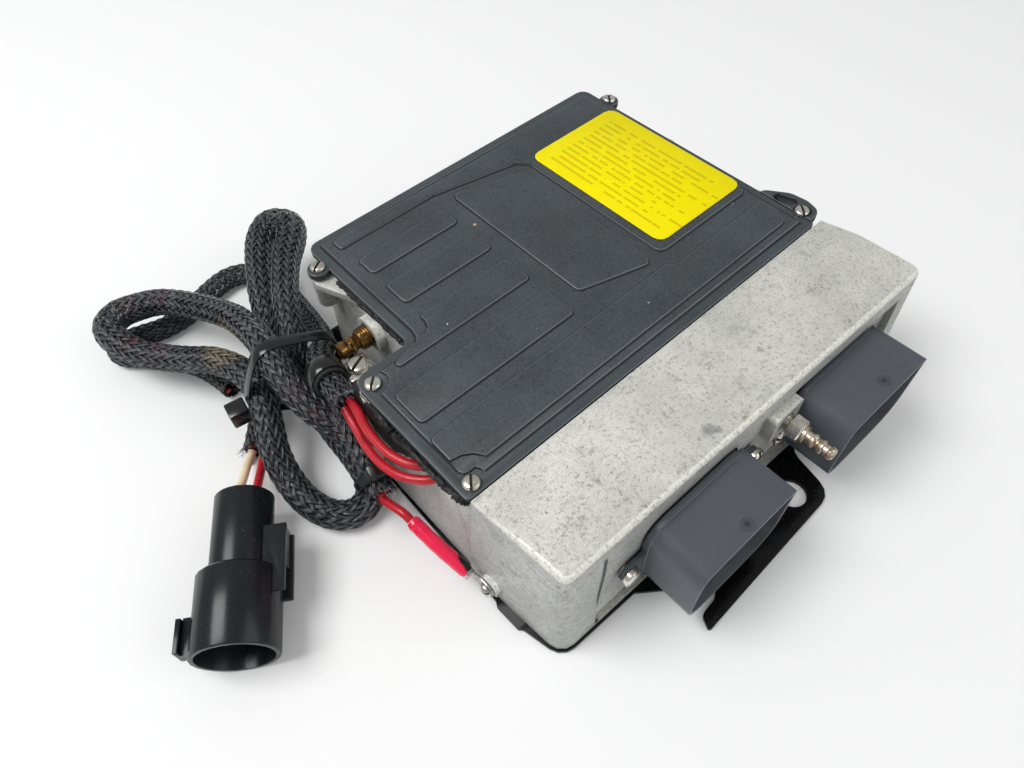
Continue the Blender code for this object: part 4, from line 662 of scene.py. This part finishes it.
def end_group(g, geometry, take):
    """A geometry tree's end: instances made real, and the material set."""
    real = g.geo("RealizeInstances", {"Geometry": geometry})
    done = g.geo("SetMaterial", {"Geometry": real, "Material": take["Material"]})
    g.tree.links.new(done.socket, g.node("NodeGroupOutput").inputs[0])
    return g.tree


def run_group(made, tree, values):
    """Runs a geometry tree on an object and makes the result real."""
    modifier = made.modifiers.new(tree.name, "NODES")
    modifier.node_group = tree
    by_name = {s.name: s.identifier for s in tree.interface.items_tree if s.in_out == "INPUT"}
    for key, value in values.items():
        modifier[by_name[key]] = value
    return settled(made)


def wound_tree():
    """Strands that wind round the input curve, over and under each other when both ways."""
    g, take = group("wound_strands", {
        "Int": ("Strands", "Ways", "Sides"),
        "Float": ("Radius", "Pitch", "Rise", "Width", "Thickness", "Step", "Phase", "Wander"),
    })

    def stored(geometry, name, value):
        return g.geo("StoreNamedAttribute", {"Geometry": geometry, "Name": name, "Value": value})

    line = g.geo("ResampleCurve", {"Curve": take["Geometry"], "Length": take["Step"]}, {"mode": "LENGTH"})
    ways = take["Ways"]
    copies = g.node("GeometryNodeDuplicateElements", {"domain": "SPLINE"}, {
        "Geometry": line, "Amount": take["Strands"] * ways,
    })
    count = g.out(copies, "Duplicate Index")
    way = 1 - (count % ways) * 2
    number = (count / ways).floor()
    along = g.geo("SplineParameter", key="Length")
    tangent = g.geo("InputTangent")
    side = g.geo("InputNormal")
    up = g.vector("CROSS_PRODUCT", tangent, side)
    spread = g.geo("InputRadius")
    drift = g.get("ShaderNodeTexNoise", {"noise_dimensions": "2D"}, {
        "Vector": g.joined(along * 55, count * 3.7, 0.0), "Scale": 1.0, "Detail": 1.0,
    })
    wander = (drift - 0.5) * take["Wander"]
    angle = number / take["Strands"] * TURN + take["Phase"] + way * along / take["Pitch"] * TURN
    weave = (angle * take["Strands"] * 0.5 + TURN / 8).cos() * way * take["Rise"]
    angle = angle + wander
    out = g.vector("ADD", g.scaled(side, angle.cos()), g.scaled(up, angle.sin()))
    keep = g.node("GeometryNodeCaptureAttribute", {"domain": "POINT"})
    keep.capture_items.new("VECTOR", "Outwards")
    keep.capture_items.new("FLOAT", "Along")
    for key, source in (("Geometry", g.out(copies, "Geometry")), ("Outwards", out), ("Along", along)):
        g.tree.links.new(source.socket, keep.inputs[key])
    outwards = g.out(keep, "Outwards")
    reach = (take["Radius"] + weave) * spread
    moved = g.geo("SetPosition", {
        "Geometry": g.out(keep, "Geometry"), "Offset": g.scaled(out, reach),
    })
    even = g.geo("SetCurveRadius", {"Curve": moved, "Radius": 1.0})
    stood = g.geo("SetCurveNormal", {"Curve": even, "Normal": outwards}, {"mode": "FREE"})
    ring = g.geo("CurvePrimitiveCircle", {"Resolution": take["Sides"], "Radius": 0.5})
    across = g.get("ShaderNodeSeparateXYZ", None, (g.geo("InputPosition"),), 1)
    ring = stored(ring, "strand_across", across)
    size = g.joined(take["Thickness"], take["Width"], 1.0)
    ring = g.geo("Transform", {"Geometry": ring, "Scale": size})
    strands = g.geo("CurveToMesh", {"Curve": stood, "Profile Curve": ring, "Fill Caps": True})
    strands = stored(strands, "strand_along", g.out(keep, "Along"))
    return end_group(g, g.geo("SetShadeSmooth", {"Geometry": strands}), take)


WOUND = wound_tree()
STILL = {"Strands": 1, "Ways": 1, "Rise": 0.0, "Phase": 0.0, "Wander": 0.0}


def wound(name, line, sizes, finish, swell=None):
    """A mesh of strands wound round a line; swell widens it at its points."""
    data = bpy.data.curves.new(name, "CURVE")
    data.dimensions = "3D"
    spline = data.splines.new("POLY")
    spline.points.add(len(line) - 1)
    for i, (point, place) in enumerate(zip(spline.points, line)):
        point.co = (*place, 1)
        point.radius = swell[i] if swell else 1.0
    guide = linked(name, data)
    mesh = run_group(guide, WOUND, {**STILL, **sizes, "Material": finish})
    bpy.data.objects.remove(guide, do_unlink=True)
    mesh.name = name
    return mesh


def joined(name, meshes):
    """One mesh of several, with each one's own material and attributes kept."""
    made = [linked(name, mesh) for mesh in meshes]
    with bpy.context.temp_override(active_object=made[0], object=made[0], selected_objects=made,
                                   selected_editable_objects=made):
        bpy.ops.object.join()
    mesh = made[0].data
    bpy.data.objects.remove(made[0], do_unlink=True)
    return mesh


# Cords: the routes are those of the solids

SLEEVE = 0.016
BRANCH_SLEEVE = 0.0135
WIRE = 0.0047
SHRINK_SIZE = 0.0076
SLEEVE_ROUTE = mm([
    (-141, -4, 30), (-138, 13, 35), (-135.5, 32, 42), (-140, 45, 47), (-143, 59, 53), (-143, 76, 59),
    (-140, 98, 60), (-140, 123, 54), (-141.6, 141.9, 46), (-146.9, 163.7, 38), (-155.2, 184.6, 32),
    (-164.7, 198.5, 29), (-176.5, 206.4, 27), (-187.9, 209, 26.5), (-196.6, 202.9, 26.5),
    (-197.5, 190.7, 26.5), (-191.6, 171.5, 26.5), (-182.1, 156.7, 27.5), (-171.6, 141.9, 30), (-162, 129, 33),
    (-155, 111, 35.5), (-154, 96, 35.5), (-157, 82, 34), (-162, 70, 30), (-166.5, 61, 24), (-169, 52, 18),
    (-170, 42, 13), (-169, 29, 10), (-164, 16, 8.3), (-155, 8, 8.3), (-144, 9, 8.3), (-137, 19, 9.5),
    (-134.5, 35, 10), (-133.5, 56, 11), (-132.5, 74, 15), (-130.5, 88, 24), (-126, 99, 34), (-120, 110, 41),
    (-113, 124, 45), (-104, 140, 46), (-92, 159, 44), (-80, 174, 42), (-72.5, 189, 40), (-80, 200, 39),
    (-92.4, 193.2, 38), (-103.8, 176.3, 37), (-114, 157.2, 35), (-122.8, 138.2, 29), (-132.8, 126.2, 20),
    (-142.8, 114.2, 11), (-153.8, 100.2, 8.3), (-163.6, 88, 8.3), (-172.3, 77.5, 8.3),
])
BRANCH_ROUTE = mm([
    (-130, 29, 66), (-129, 42, 65), (-126.5, 59, 62.5), (-121, 72, 55), (-116, 83, 44), (-110, 95, 32),
    (-104, 109, 23), (-100, 132, 16), (-97, 160, 11), (-96, 183, 7), (-102, 202, 7), (-116, 211, 7),
    (-134, 208, 7), (-151, 201, 7), (-169, 200, 7), (-184, 204.5, 7), (-197, 207, 7), (-200, 198, 7),
    (-191, 187, 7), (-178, 172.5, 7), (-168, 156, 7), (-163, 140, 7), (-161, 127, 7),
])


def sleeve(name, route, diameter, node, wires, loose):
    """A braided sleeve over twisted wires; it swells round the loose places."""
    line = smooth_line(route, 4)
    swell = []
    for point in line:
        amount = 0.0
        for place, reach, more in loose:
            away = (point - Vector(place) * MM).length / (reach * MM)
            amount += more * math.exp(-away * away)
        swell.append(1.0 + amount)
    meshes = [wound(name + "_braid", line, {
        "Strands": 16, "Ways": 2, "Radius": diameter / 2 - 0.55 * MM, "Pitch": diameter * 6.4,
        "Rise": 0.5 * MM, "Width": diameter * 0.15, "Thickness": 0.56 * MM, "Step": 1.5 * MM,
        "Sides": 4, "Wander": 0.2,
    }, BRAID, swell)]
    wire_size = diameter * 0.27
    for k, finish in enumerate(wires):
        meshes.append(wound(f"{name}_wire_{k}", line, {
            "Radius": diameter * 0.235, "Pitch": 0.13, "Width": wire_size, "Thickness": wire_size, "Step": 4 * MM,
            "Sides": 8, "Phase": TURN * k / len(wires),
        }, finish))
    return piece(name, joined(name, meshes), None, node), line


harness, HARNESS_LINE = sleeve(
    "harness_braid", SLEEVE_ROUTE, SLEEVE, "harness_sleeve", (RED_SHADED, RUBBER, RUBBER, CLAY),
    (((-74.5, 194, 39.5), 20, 0.2), ((-86, 168, 43), 20, 0.12), ((-196, 203, 26.5), 24, 0.14)),
)
branch, BRANCH_LINE = sleeve(
    "branch_braid", BRANCH_ROUTE, BRANCH_SLEEVE, "branch_sleeve", (RED_SHADED, RUBBER, RUBBER),
    (((-118, 211, 7), 30, 0.03),),
)


def along_route(route, size, finish, name, node):
    line = smooth_line(route, 5)
    return tube(name, line, [size / 2] * len(line), finish, node)


IN_WALL = -122.1
red_wire_1 = along_route(mm([
    (-128.7, 27.4, 68.2), (-130, 18, 69), (-132.5, 8, 69.5), (-133.5, -3, 70), (-133, -13, 70.5),
    (-130, -22.5, 71), (IN_WALL - 3, -28.2, 70.5), (IN_WALL - 0.2, -28.4, 70.5),
]), WIRE, RED, "upper_red_wire", "red_wire_1")
red_wire_2 = along_route(mm([
    (-132.7, 27.4, 64.5), (-134.5, 16, 62.5), (-137, 3, 62.5), (-137.5, -11, 64), (-135, -23, 66),
    (-130, -31.5, 67.5), (IN_WALL - 3, -35.5, 68), (IN_WALL, -36.2, 68),
]), WIRE, RED, "lower_red_wire", "red_wire_2")
cream_wire = along_route(mm([
    (-127, 27.4, 62.8), (-128.5, 17, 61.5), (-131, 5, 61.5), (-131.5, -7, 62.5), (-129, -16, 64),
    (IN_WALL - 3, -20.5, 64.5), (IN_WALL, -21.2, 64.5),
]), WIRE * 0.9, CREAM, "inlet_cream_wire", "cream_wire")

GROUND, HEEL, BEND = [Vector(place) for place in mm([(-129, -73, 13.3), (-132.3, -62.5, 16.3), (-138.5, -26, 29)])]
RUN = (Vector(SLEEVE_ROUTE[0]) - Vector(SLEEVE_ROUTE[1])).normalized()
LEAD = (HEEL - BEND).normalized()
START = Vector(SLEEVE_ROUTE[0]) + RUN * 0.0003
ground_wire = along_route([START, START + RUN * 0.004, BEND - LEAD * 0.006, BEND], WIRE, RED,
                          "ground_lead_wire", "ground_wire")
SHRINK_END = HEEL - LEAD * 0.0012
shrink_line = smooth_line([
    BEND + LEAD * 0.0003, BEND + LEAD * 0.005, BEND.lerp(HEEL, 0.5) + Vector((-0.0006, 0, 0.001)),
    SHRINK_END - LEAD * 0.005, SHRINK_END,
], 6)
steps = len(shrink_line) - 1
radii = [
    SHRINK_SIZE / 2 * (0.8 + 0.2 * min(1.0, i / 3, (steps - i) / 3) + 0.02 * math.sin(i * 1.9))
    for i in range(steps + 1)
]
shrink = tube("heat_shrink_tube", shrink_line, radii, SHRINK, "heat_shrink", sides=20)

PLUG_AXIS = Vector((-0.54, -0.84, 0.0)).normalized()
PLUG_SIDE = Vector((0.84, -0.54, 0.0)).normalized()
PLUG_REAR = Vector((-0.1935, 0.047, 0.0208))
for name, side, finish in (("cream", -1, CREAM), ("red", 1, RED)):
    end = PLUG_REAR + PLUG_AXIS * 0.0037 + PLUG_SIDE * side * 0.0055
    start = Vector(SLEEVE_ROUTE[-1])
    run = (start - Vector(SLEEVE_ROUTE[-2])).normalized()
    aside = run.cross(UP).normalized()
    first = start + run * 0.0006 - aside * side * 0.003
    along_route([
        first, first + run * 0.007 - aside * side * 0.001, first.lerp(end, 0.62), end - PLUG_AXIS * 0.006, end,
    ], WIRE, finish, f"plug_lead_{name}", f"plug_wire_{name}")


# CAD pieces with rounded edges

def folds(shape, angle, low, turn=1):
    """Edges above a height that fold outwards, or inwards with a turn of -1, by more than an angle."""
    return [
        edge for edge in shape.edges
        if len(edge.link_faces) == 2 and edge.calc_face_angle_signed() * turn > math.radians(angle)
        and all(v.co.z > low for v in edge.verts)
    ]


def rounded(shape, edges, width, segments, **more):
    bmesh.ops.bevel(shape, geom=edges, offset=width * MM, segments=segments, profile=0.5, affect="EDGES", **more)


def rim_fillet(shape):
    """The broad fillet round the top of the casting's front block, without its edge at the lid."""
    rim = [
        edge for edge in folds(shape, 55, BLOCK_TOP - 0.4 * MM)
        if min(v.co.y for v in edge.verts) < LID_FRONT
    ]
    rounded(shape, rim, 3.4, 5, clamp_overlap=False)


def lid_relief(shape):
    """Painted highlight on the upper edges, and painted shade on the feet and steep sides, of the lid's raised field
    and pads.
    """
    for turn, finish in ((1, 1), (-1, 2)):
        rounded(shape, folds(shape, 45, FLANGE_TOP - 0.1 * MM, turn), 0.42, 2, clamp_overlap=False, material=finish)
    for face in shape.faces:
        if face.material_index == 0 and abs(face.normal.z) < 0.75:
            face.material_index = 2


LID_FRONT = -0.0612
BLOCK_TOP = 0.08
FLANGE_TOP = 0.081
softened("housing", 0.9, CAST, None, 2, 42.0, CAST_CORNER_SHADE, 0.16, rim_fillet)
softened("cover", 0.4, LID, LID_EDGE_HIGHLIGHT, 2, 50.0, LID_FOOT, 0.01, lid_relief)
for side in ("left", "right"):
    softened(f"header_{side}", 0.45, SOCKET, SOCKET_EDGE_HIGHLIGHT)
softened("base_plate", 0.45, PAINT)
plug_shell = softened("plug_shell", 0.45, PLUG)
softened("label_panel", 0.1, YELLOW, None, 1)
softened("small_tie", 0.25, TIE)
softened("ring_terminal", 0.2, TIN, None, 1)


def bundle_tie():
    """The tie round the harness's crossing, drawn smooth, with its locking head."""
    place = Vector((-0.1385, 0.085, 0.0))
    along = Vector((0.15, 1.0, 0.0)).normalized()
    across = along.cross(UP).normalized()
    centres = mm([(7, 18), (24, 40), (23, 50), (-4.5, 61), (-17.2, 34)])
    radius = SLEEVE / 2 + 0.0008 + TIE_THICK / 2
    corners = []
    for i, (x, z) in enumerate(centres):
        x0, z0 = centres[i - 1]
        x2, z2 = centres[(i + 1) % len(centres)]
        start = math.atan2(z - z0, x - x0) - math.pi / 2
        turn = (math.atan2(z2 - z, x2 - x) - math.pi / 2 - start) % TURN
        for k in range(TIE_BENDS + 1):
            out = around(across, UP, start + turn * k / TIE_BENDS)
            corners.append(place + across * x + UP * z + out * radius)
    middles = []
    for a, b in zip(corners, corners[1:] + corners[:1]):
        pieces = max(1, round((b - a).length / TIE_STEP))
        middles += [a.lerp(b, k / pieces) for k in range(pieces)]
    for _ in range(TIE_EASE):
        middles = [
            middle * 0.5 + (middles[i - 1] + middles[(i + 1) % len(middles)]) * 0.25
            for i, middle in enumerate(middles)
        ]
    outs = [
        (middles[(i + 1) % len(middles)] - middles[i - 1]).cross(along).normalized()
        for i in range(len(middles))
    ]
    middles = [middle + out * TIE_STANDS_OFF for middle, out in zip(middles, outs)]
    shape = bmesh.new()
    section = ((0.5, -0.42), (0.5, 0.42), (0.28, 0.5), (-0.28, 0.5), (-0.5, 0.42), (-0.5, -0.42), (-0.28, -0.5),
               (0.28, -0.5))
    skin(shape, [
        [shape.verts.new(middle + out * (TIE_THICK * a) + along * (TIE_WIDTH * b)) for a, b in section]
        for middle, out in zip(middles, outs)
    ], True)
    head = bmesh.ops.create_cube(shape, size=TIE_HEAD)["verts"]
    turn = Matrix((across, UP, -along)).transposed().to_4x4()
    middle = place + across * TIE_HEAD_AT[0] + UP * TIE_HEAD_AT[1]
    bmesh.ops.transform(shape, matrix=Matrix.Translation(middle) @ turn, verts=head)
    rounded(shape, list({edge for vert in head for edge in vert.link_edges}), 0.9, 2)
    shaped("bundle_tie_drawn", shape, 40, TIE, "bundle_tie")


DIPPED = 0.0108
TIE_THICK = 0.0014
TIE_WIDTH = 0.0072
TIE_BENDS = 12
TIE_STEP = 0.0015
TIE_STANDS_OFF = 0.0009
TIE_EASE = 60
TIE_HEAD = 0.0108
TIE_HEAD_AT = (-0.0314, 0.03)
bundle_tie()


# The clip's band is dipped in vinyl; only its flat tab is bare

band = softened("clip_band", 0.25, NICKEL, VINYL, 1)
middle = (Vector(BRANCH_ROUTE[1]) + Vector(BRANCH_ROUTE[2])) / 2
axis = (Vector(BRANCH_ROUTE[2]) - Vector(BRANCH_ROUTE[1])).normalized()
for face in band.data.polygons:
    away = face.center - middle
    away -= axis * away.dot(axis)
    face.material_index = 1 if away.length < DIPPED else 0


# Slotted screws by Geometry Nodes: the turned head comes in, the slot is cut and it is set in place

def slotted_tree():
    g, take = group("slotted_head", {
        "Float": ("Across", "Slot", "Depth", "Top", "Turn"), "Vector": ("Place", "Tilt"),
    })
    size = g.joined(take["Across"] * 1.5, take["Slot"], take["Depth"] * 2)
    block = g.geo("Transform", {
        "Geometry": g.geo("MeshCube", {"Size": size}),
        "Translation": g.joined(0.0, 0.0, take["Top"]), "Rotation": g.joined(0.0, 0.0, take["Turn"]),
    })
    cut = g.geo("MeshBoolean", {"Mesh 1": take["Geometry"], "Mesh 2": block}, {"operation": "DIFFERENCE"})
    return end_group(g, g.geo("Transform", {
        "Geometry": cut, "Translation": take["Place"], "Rotation": take["Tilt"],
    }), take)


SLOTTED = slotted_tree()


def slotted_screw(node, place, direction, turn, size, finish=NICKEL):
    """A pan head with a rounded brim and a cut slot, in place of a CAD screw."""
    across, rise, slot = size
    r = across / 2
    shape = lathe([
        (0, rise), (r * 0.45, rise * 0.985), (r * 0.72, rise - 0.22), (r * 0.86, rise - 0.5), (r * 0.95, rise - 0.95),
        (r * 0.99, rise - 1.4), (r, rise - 1.8), (r, 0.1), (r - 0.2, 0), (SHANK, 0), (SHANK, -4), (0, -4),
    ], 36)
    made = shaped(node + "_head", shape, 32, finish, node)
    way = Vector(direction).to_track_quat("Z", "Y")
    mesh = run_group(made, SLOTTED, {
        "Across": across * MM, "Slot": slot * MM, "Depth": SLOT_DEPTH * MM, "Top": rise * MM, "Turn": turn,
        "Place": tuple(place), "Tilt": tuple(way.to_euler()), "Material": finish,
    })
    mesh.materials.append(SLOT_SHADE)
    turned = Matrix.Rotation(-turn, 3, "Z") @ way.inverted().to_matrix()
    for face in mesh.polygons:
        at = turned @ (face.center - Vector(place)) / MM
        deep = rise - SLOT_DEPTH - 0.1 < at.z < rise - 0.4
        if deep and abs(at.y) < slot / 2 + 0.02 and abs(at.x) < r * 0.9:
            face.material_index = 1
    smooth(mesh, 32)


# In millimetres: how far across each head is, how high and with what slot; the shank's radius, the slot's depth
COVER_HEAD = (8.4, 2.2, 1.3)
HEADER_HEAD = (10.5, 3.6, 1.5)
CLIP_HEAD = (11.6, 2.8, 1.8)
GROUND_HEAD = (8.4, 2.2, 1.1)
SHANK = 2.1
SLOT_DEPTH = 1.5
COVER_SCREWS = mm([(-118.2, -54.6, 81.3), (-118.6, 17.7, 81.3), (-95, 101.7, 81.3), (127.9, 99.4, 81.3),
                   (126.9, -49.7, 81.3)])
for i, turn in enumerate((0.9, 0.75, 0.55, 0.9, 0.85)):
    slotted_screw(f"cover_screw_{i + 1}", COVER_SCREWS[i], UP, turn, COVER_HEAD)
for i, (x, side) in enumerate((x, side) for x in (-0.04, 0.069) for side in (-1, 1)):
    slotted_screw(f"header_screw_{i + 1}", (x + side * 0.044, -0.1204, 0.043 + side * 0.0019), (0, -1, 0),
                  0.5 + i, HEADER_HEAD)
low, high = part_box("clip_screw")
slotted_screw("clip_screw", ((low[0] + high[0]) / 2, (low[1] + high[1]) / 2, high[2] - 2.2 * MM), UP, 0.42, CLIP_HEAD)
slotted_screw("ground_screw", GROUND + Vector((-0.0018, 0, 0)), (-1, 0, 0), 0.7, GROUND_HEAD, TIN)


# Turned pieces with threads

def fitting(node, name, place, way, parts, shank, finish):
    """Turned parts on one axis, from place along way, and a ridge that winds up the shank from low to high."""
    turn = Vector(way).to_track_quat("Z", "Y").to_matrix().to_4x4()
    meshes = []
    for i, (profile, steps, part_finish, angle) in enumerate(parts):
        shape = lathe(profile, steps)
        bmesh.ops.transform(shape, matrix=Matrix.Translation(place) @ turn, verts=shape.verts)
        bmesh.ops.recalc_face_normals(shape, faces=shape.faces)
        mesh = smooth(mesh_from(shape, f"{name}_{i}"), angle)
        mesh.materials.append(part_finish)
        meshes.append(mesh)
    along = Vector(way).normalized()
    radius, low, high, pitch = shank
    count = max(int((high - low) / THREAD_STEP), 4)
    line = [Vector(place) + along * (low + (high - low) * k / count) for k in range(count + 1)]
    meshes.append(wound(name + "_thread", line, {
        "Radius": radius, "Pitch": pitch, "Width": pitch * 0.8, "Thickness": pitch * 0.55, "Step": pitch / 16,
        "Sides": 6,
    }, finish))
    piece(name, joined(name, meshes), None, node)


THREAD_STEP = 0.0004
fitting("hose_barb", "hose_barb_turned", (0.024, -0.122, 0.057), (0, -1, 0), (
    ([
        (0, 27.2), (2.2, 27), (3.2, 26.2), (3.7, 25), (3.7, 24.4), (2.9, 23.8), (2.9, 21.4), (3.9, 20.6), (3.9, 20),
        (3, 18.6), (2.8, 17.2), (3.9, 16), (3.9, 15.4), (3, 14), (3, 11.8), (4.6, 11.2), (4.6, 9.4), (4.4, 2.2),
        (4.1, 1.8), (4.1, -6), (0, -6),
    ], 28, CORRODED, 40),
    ([(1, 9.6), (5.6, 9.6), (6.64, 8.9), (6.64, 2.9), (5.6, 2.2), (1, 2.2)], 6, NICKEL, 25),
), (0.0042, -0.004, 0.002, 0.0011), NICKEL)
fitting("brass_fitting", "brass_turned", (-0.095, 0.0615, 0.0605), (-1, 0.02, 0), (
    ([
        (0, 16), (2.6, 16), (2.6, 18.8), (4.1, 19), (4.7, 18.4), (4.7, 14.8), (4.1, 14.1), (4, 12.8), (4.4, 12.3),
        (4.4, 9.8), (4, 9.2), (3.8, 7.6), (5.2, 7), (5.8, 6.2), (5.8, -6), (0, -6),
    ], 32, BRASS, 40),
    ([(1, 12.4), (5, 12.4), (5.6, 11.8), (5.6, 10.3), (5, 9.7), (1, 9.7)], 6, BRASS, 25),
), (0.006, -0.005, 0.006, 0.0013), BRASS)

for name, node in frame["nodes"].items():
    if not node.hide_render:
        finish = SLOT_FINISH[NODE_SLOT[name]]
        if node.material_slots:
            for place in node.material_slots:
                place.material = finish
        else:
            node.data.materials.append(finish)


# Sealant and frayed ends

def bead(name, route, radius, seed, rough, per_span):
    """A ragged bead of sealant along a line."""
    rng = random.Random(seed)
    line = smooth_line(route, per_span)
    radii = [radius * (1 + rough * 0.4 * (rng.random() * 2 - 1)) for _ in line]
    radii[0] = radii[-1] = radius * 0.4
    return tube(name, line, radii, SEALANT, None, 8, lambda: 1 + rough * (rng.random() * 2 - 1))


def frayed(name, place, along, radius, reach, count, seed, spread):
    """Loose filaments that stand out of a cut sleeve's end."""
    rng = random.Random(seed)
    along, side, up = frames([place, place + along])[0]
    shape = bmesh.new()
    for _ in range(count):
        out = around(side, up, rng.random() * TURN)
        length = reach * (0.35 + 0.65 * rng.random())
        lean = spread * (0.2 + rng.random())
        bend = (side * (rng.random() - 0.5) + up * (rng.random() - 0.5)) * length * 0.5
        start = place + out * radius - along * FRAY_ROOT
        rings = []
        for t in (0, 0.25, 0.5, 0.75, 1):
            point = start + along * length * t + (out * (lean * length) + bend) * (t * t)
            point.z = max(point.z, FRAY_LOWEST)
            rings.append([shape.verts.new(point + around(side, up, TURN * k / 3) * FILAMENT) for k in range(3)])
        skin(shape, rings)
    shaped(name, shape, 60, BRAID, None)


FILAMENT = 0.00016
FRAY_ROOT = 0.002
FRAY_LOWEST = 0.0006
bead("notch_sealant", mm([
    (-91.6, 90, 77.1), (-91.8, 70, 76.9), (-91.6, 42, 76.9), (-91.7, 30, 77),
]), 0.00115, 3, 0.5, 16)
bead("left_sealant", mm([
    (-125.4, 7, 76.7), (-126.4, -6, 76.2), (-126.6, -10, 76), (-126.4, -35, 76.2), (-125.4, -54, 76.4),
    (-123, -59, 76.8),
]), 0.0017, 5, 0.45, 18)


def wall_sealant(places, wall, thick, per_span=7, sides=16):
    """Sealant pressed on the left wall: (y, low z, high z) places along it, with a lumpy face."""
    rng = random.Random(8)
    shape = bmesh.new()
    rings = []
    for (y0, low0, high0), (y1, low1, high1) in zip(places, places[1:]):
        for k in range(per_span):
            t = k / per_span
            y, low, high = y0 + (y1 - y0) * t, low0 + (low1 - low0) * t, high0 + (high1 - high0) * t
            low -= rng.random() * 1.2 * MM
            ring = []
            for j in range(sides):
                angle = TURN * j / sides
                lump = 1 + 0.7 * (rng.random() - 0.5)
                ring.append(shape.verts.new((
                    wall - thick * math.cos(angle) * lump, y + 0.4 * MM * (rng.random() - 0.5),
                    (low + high) / 2 + (high - low) / 2 * math.sin(angle),
                )))
            rings.append(ring)
    skin(shape, rings)
    shaped("wall_sealant", shape, 75, SEALANT, None)


wall_sealant(mm([
    (26.2, 56, 76), (23, 50, 76.4), (10, 49, 76.6), (0, 50, 76.6), (-12.5, 60, 76.6), (-24, 66.5, 76.6),
    (-33, 71.5, 76.6), (-38, 75, 76.6),
]), -0.1252, 0.0014)

ENDS = (
    ("branch_fray", BRANCH_LINE, 0, BRANCH_SLEEVE, 0.01, 170, 0.7),
    ("harness_fray", HARNESS_LINE, 0, SLEEVE, 0.006, 120, 0.4),
    ("tail_fray", HARNESS_LINE, -1, SLEEVE, 0.008, 120, 0.45),
)
for seed, (name, line, at, size, reach, count, spread) in enumerate(ENDS):
    end, before = (line[0], line[2]) if at == 0 else (line[-1], line[-3])
    frayed(name, end, (end - before).normalized(), size / 2 - 0.0006, reach, count, seed + 11, spread)


# Floor and light

def studio():
    shape = bmesh.new()
    bmesh.ops.create_grid(shape, x_segments=1, y_segments=1, size=6.0)
    floor = linked("floor", mesh_from(shape, "floor"))
    pale = Finish("floor_white", 0.9, 0.0, 0.0, 0.0)
    pale.feed("Base Color", (0.88, 0.885, 0.883))
    seen = pale.get("ShaderNodeLightPath", key="Is Camera Ray")
    far = pale.range(pale.vector("LENGTH", pale.place), 0.6, 3.0, 0.075, 0.8)
    pale.feed("Emission Color", pale.mix(seen * far, (0.0, 0.0, 0.0), (1.0, 1.0, 1.0)))
    pale.feed("Emission Strength", 1.0)
    floor.data.materials.append(pale.material)
    world = bpy.data.worlds.new("studio")
    bpy.context.scene.world = world
    world.use_nodes = True
    sky = world.node_tree.nodes["Background"]
    sky.inputs["Color"].default_value = (1.0, 1.0, 1.0, 1.0)
    paths = Graph(world.node_tree)
    seen = paths.get("ShaderNodeLightPath", key="Is Camera Ray")
    world.node_tree.links.new((seen * 0.54 + 0.4).socket, sky.inputs["Strength"])
    for name, place, aim_at, size, power in (
        ("key", (-0.9, 0.5, 1.7), (0, 0, 0), 1.0, 25.0),
        ("fill", (0.8, -1.5, 1.2), (0, 0, 0.03), 1.5, 8.0),
    ):
        data = bpy.data.lights.new(name, "AREA")
        data.shape = "SQUARE"
        data.size = size
        data.energy = power
        lamp = linked(name, data)
        lamp.location = place
        lamp.rotation_mode = "QUATERNION"
        lamp.rotation_quaternion = (Vector(aim_at) - Vector(place)).to_track_quat("-Z", "Y")


studio()
bpy.context.scene.view_settings.view_transform = "Standard"
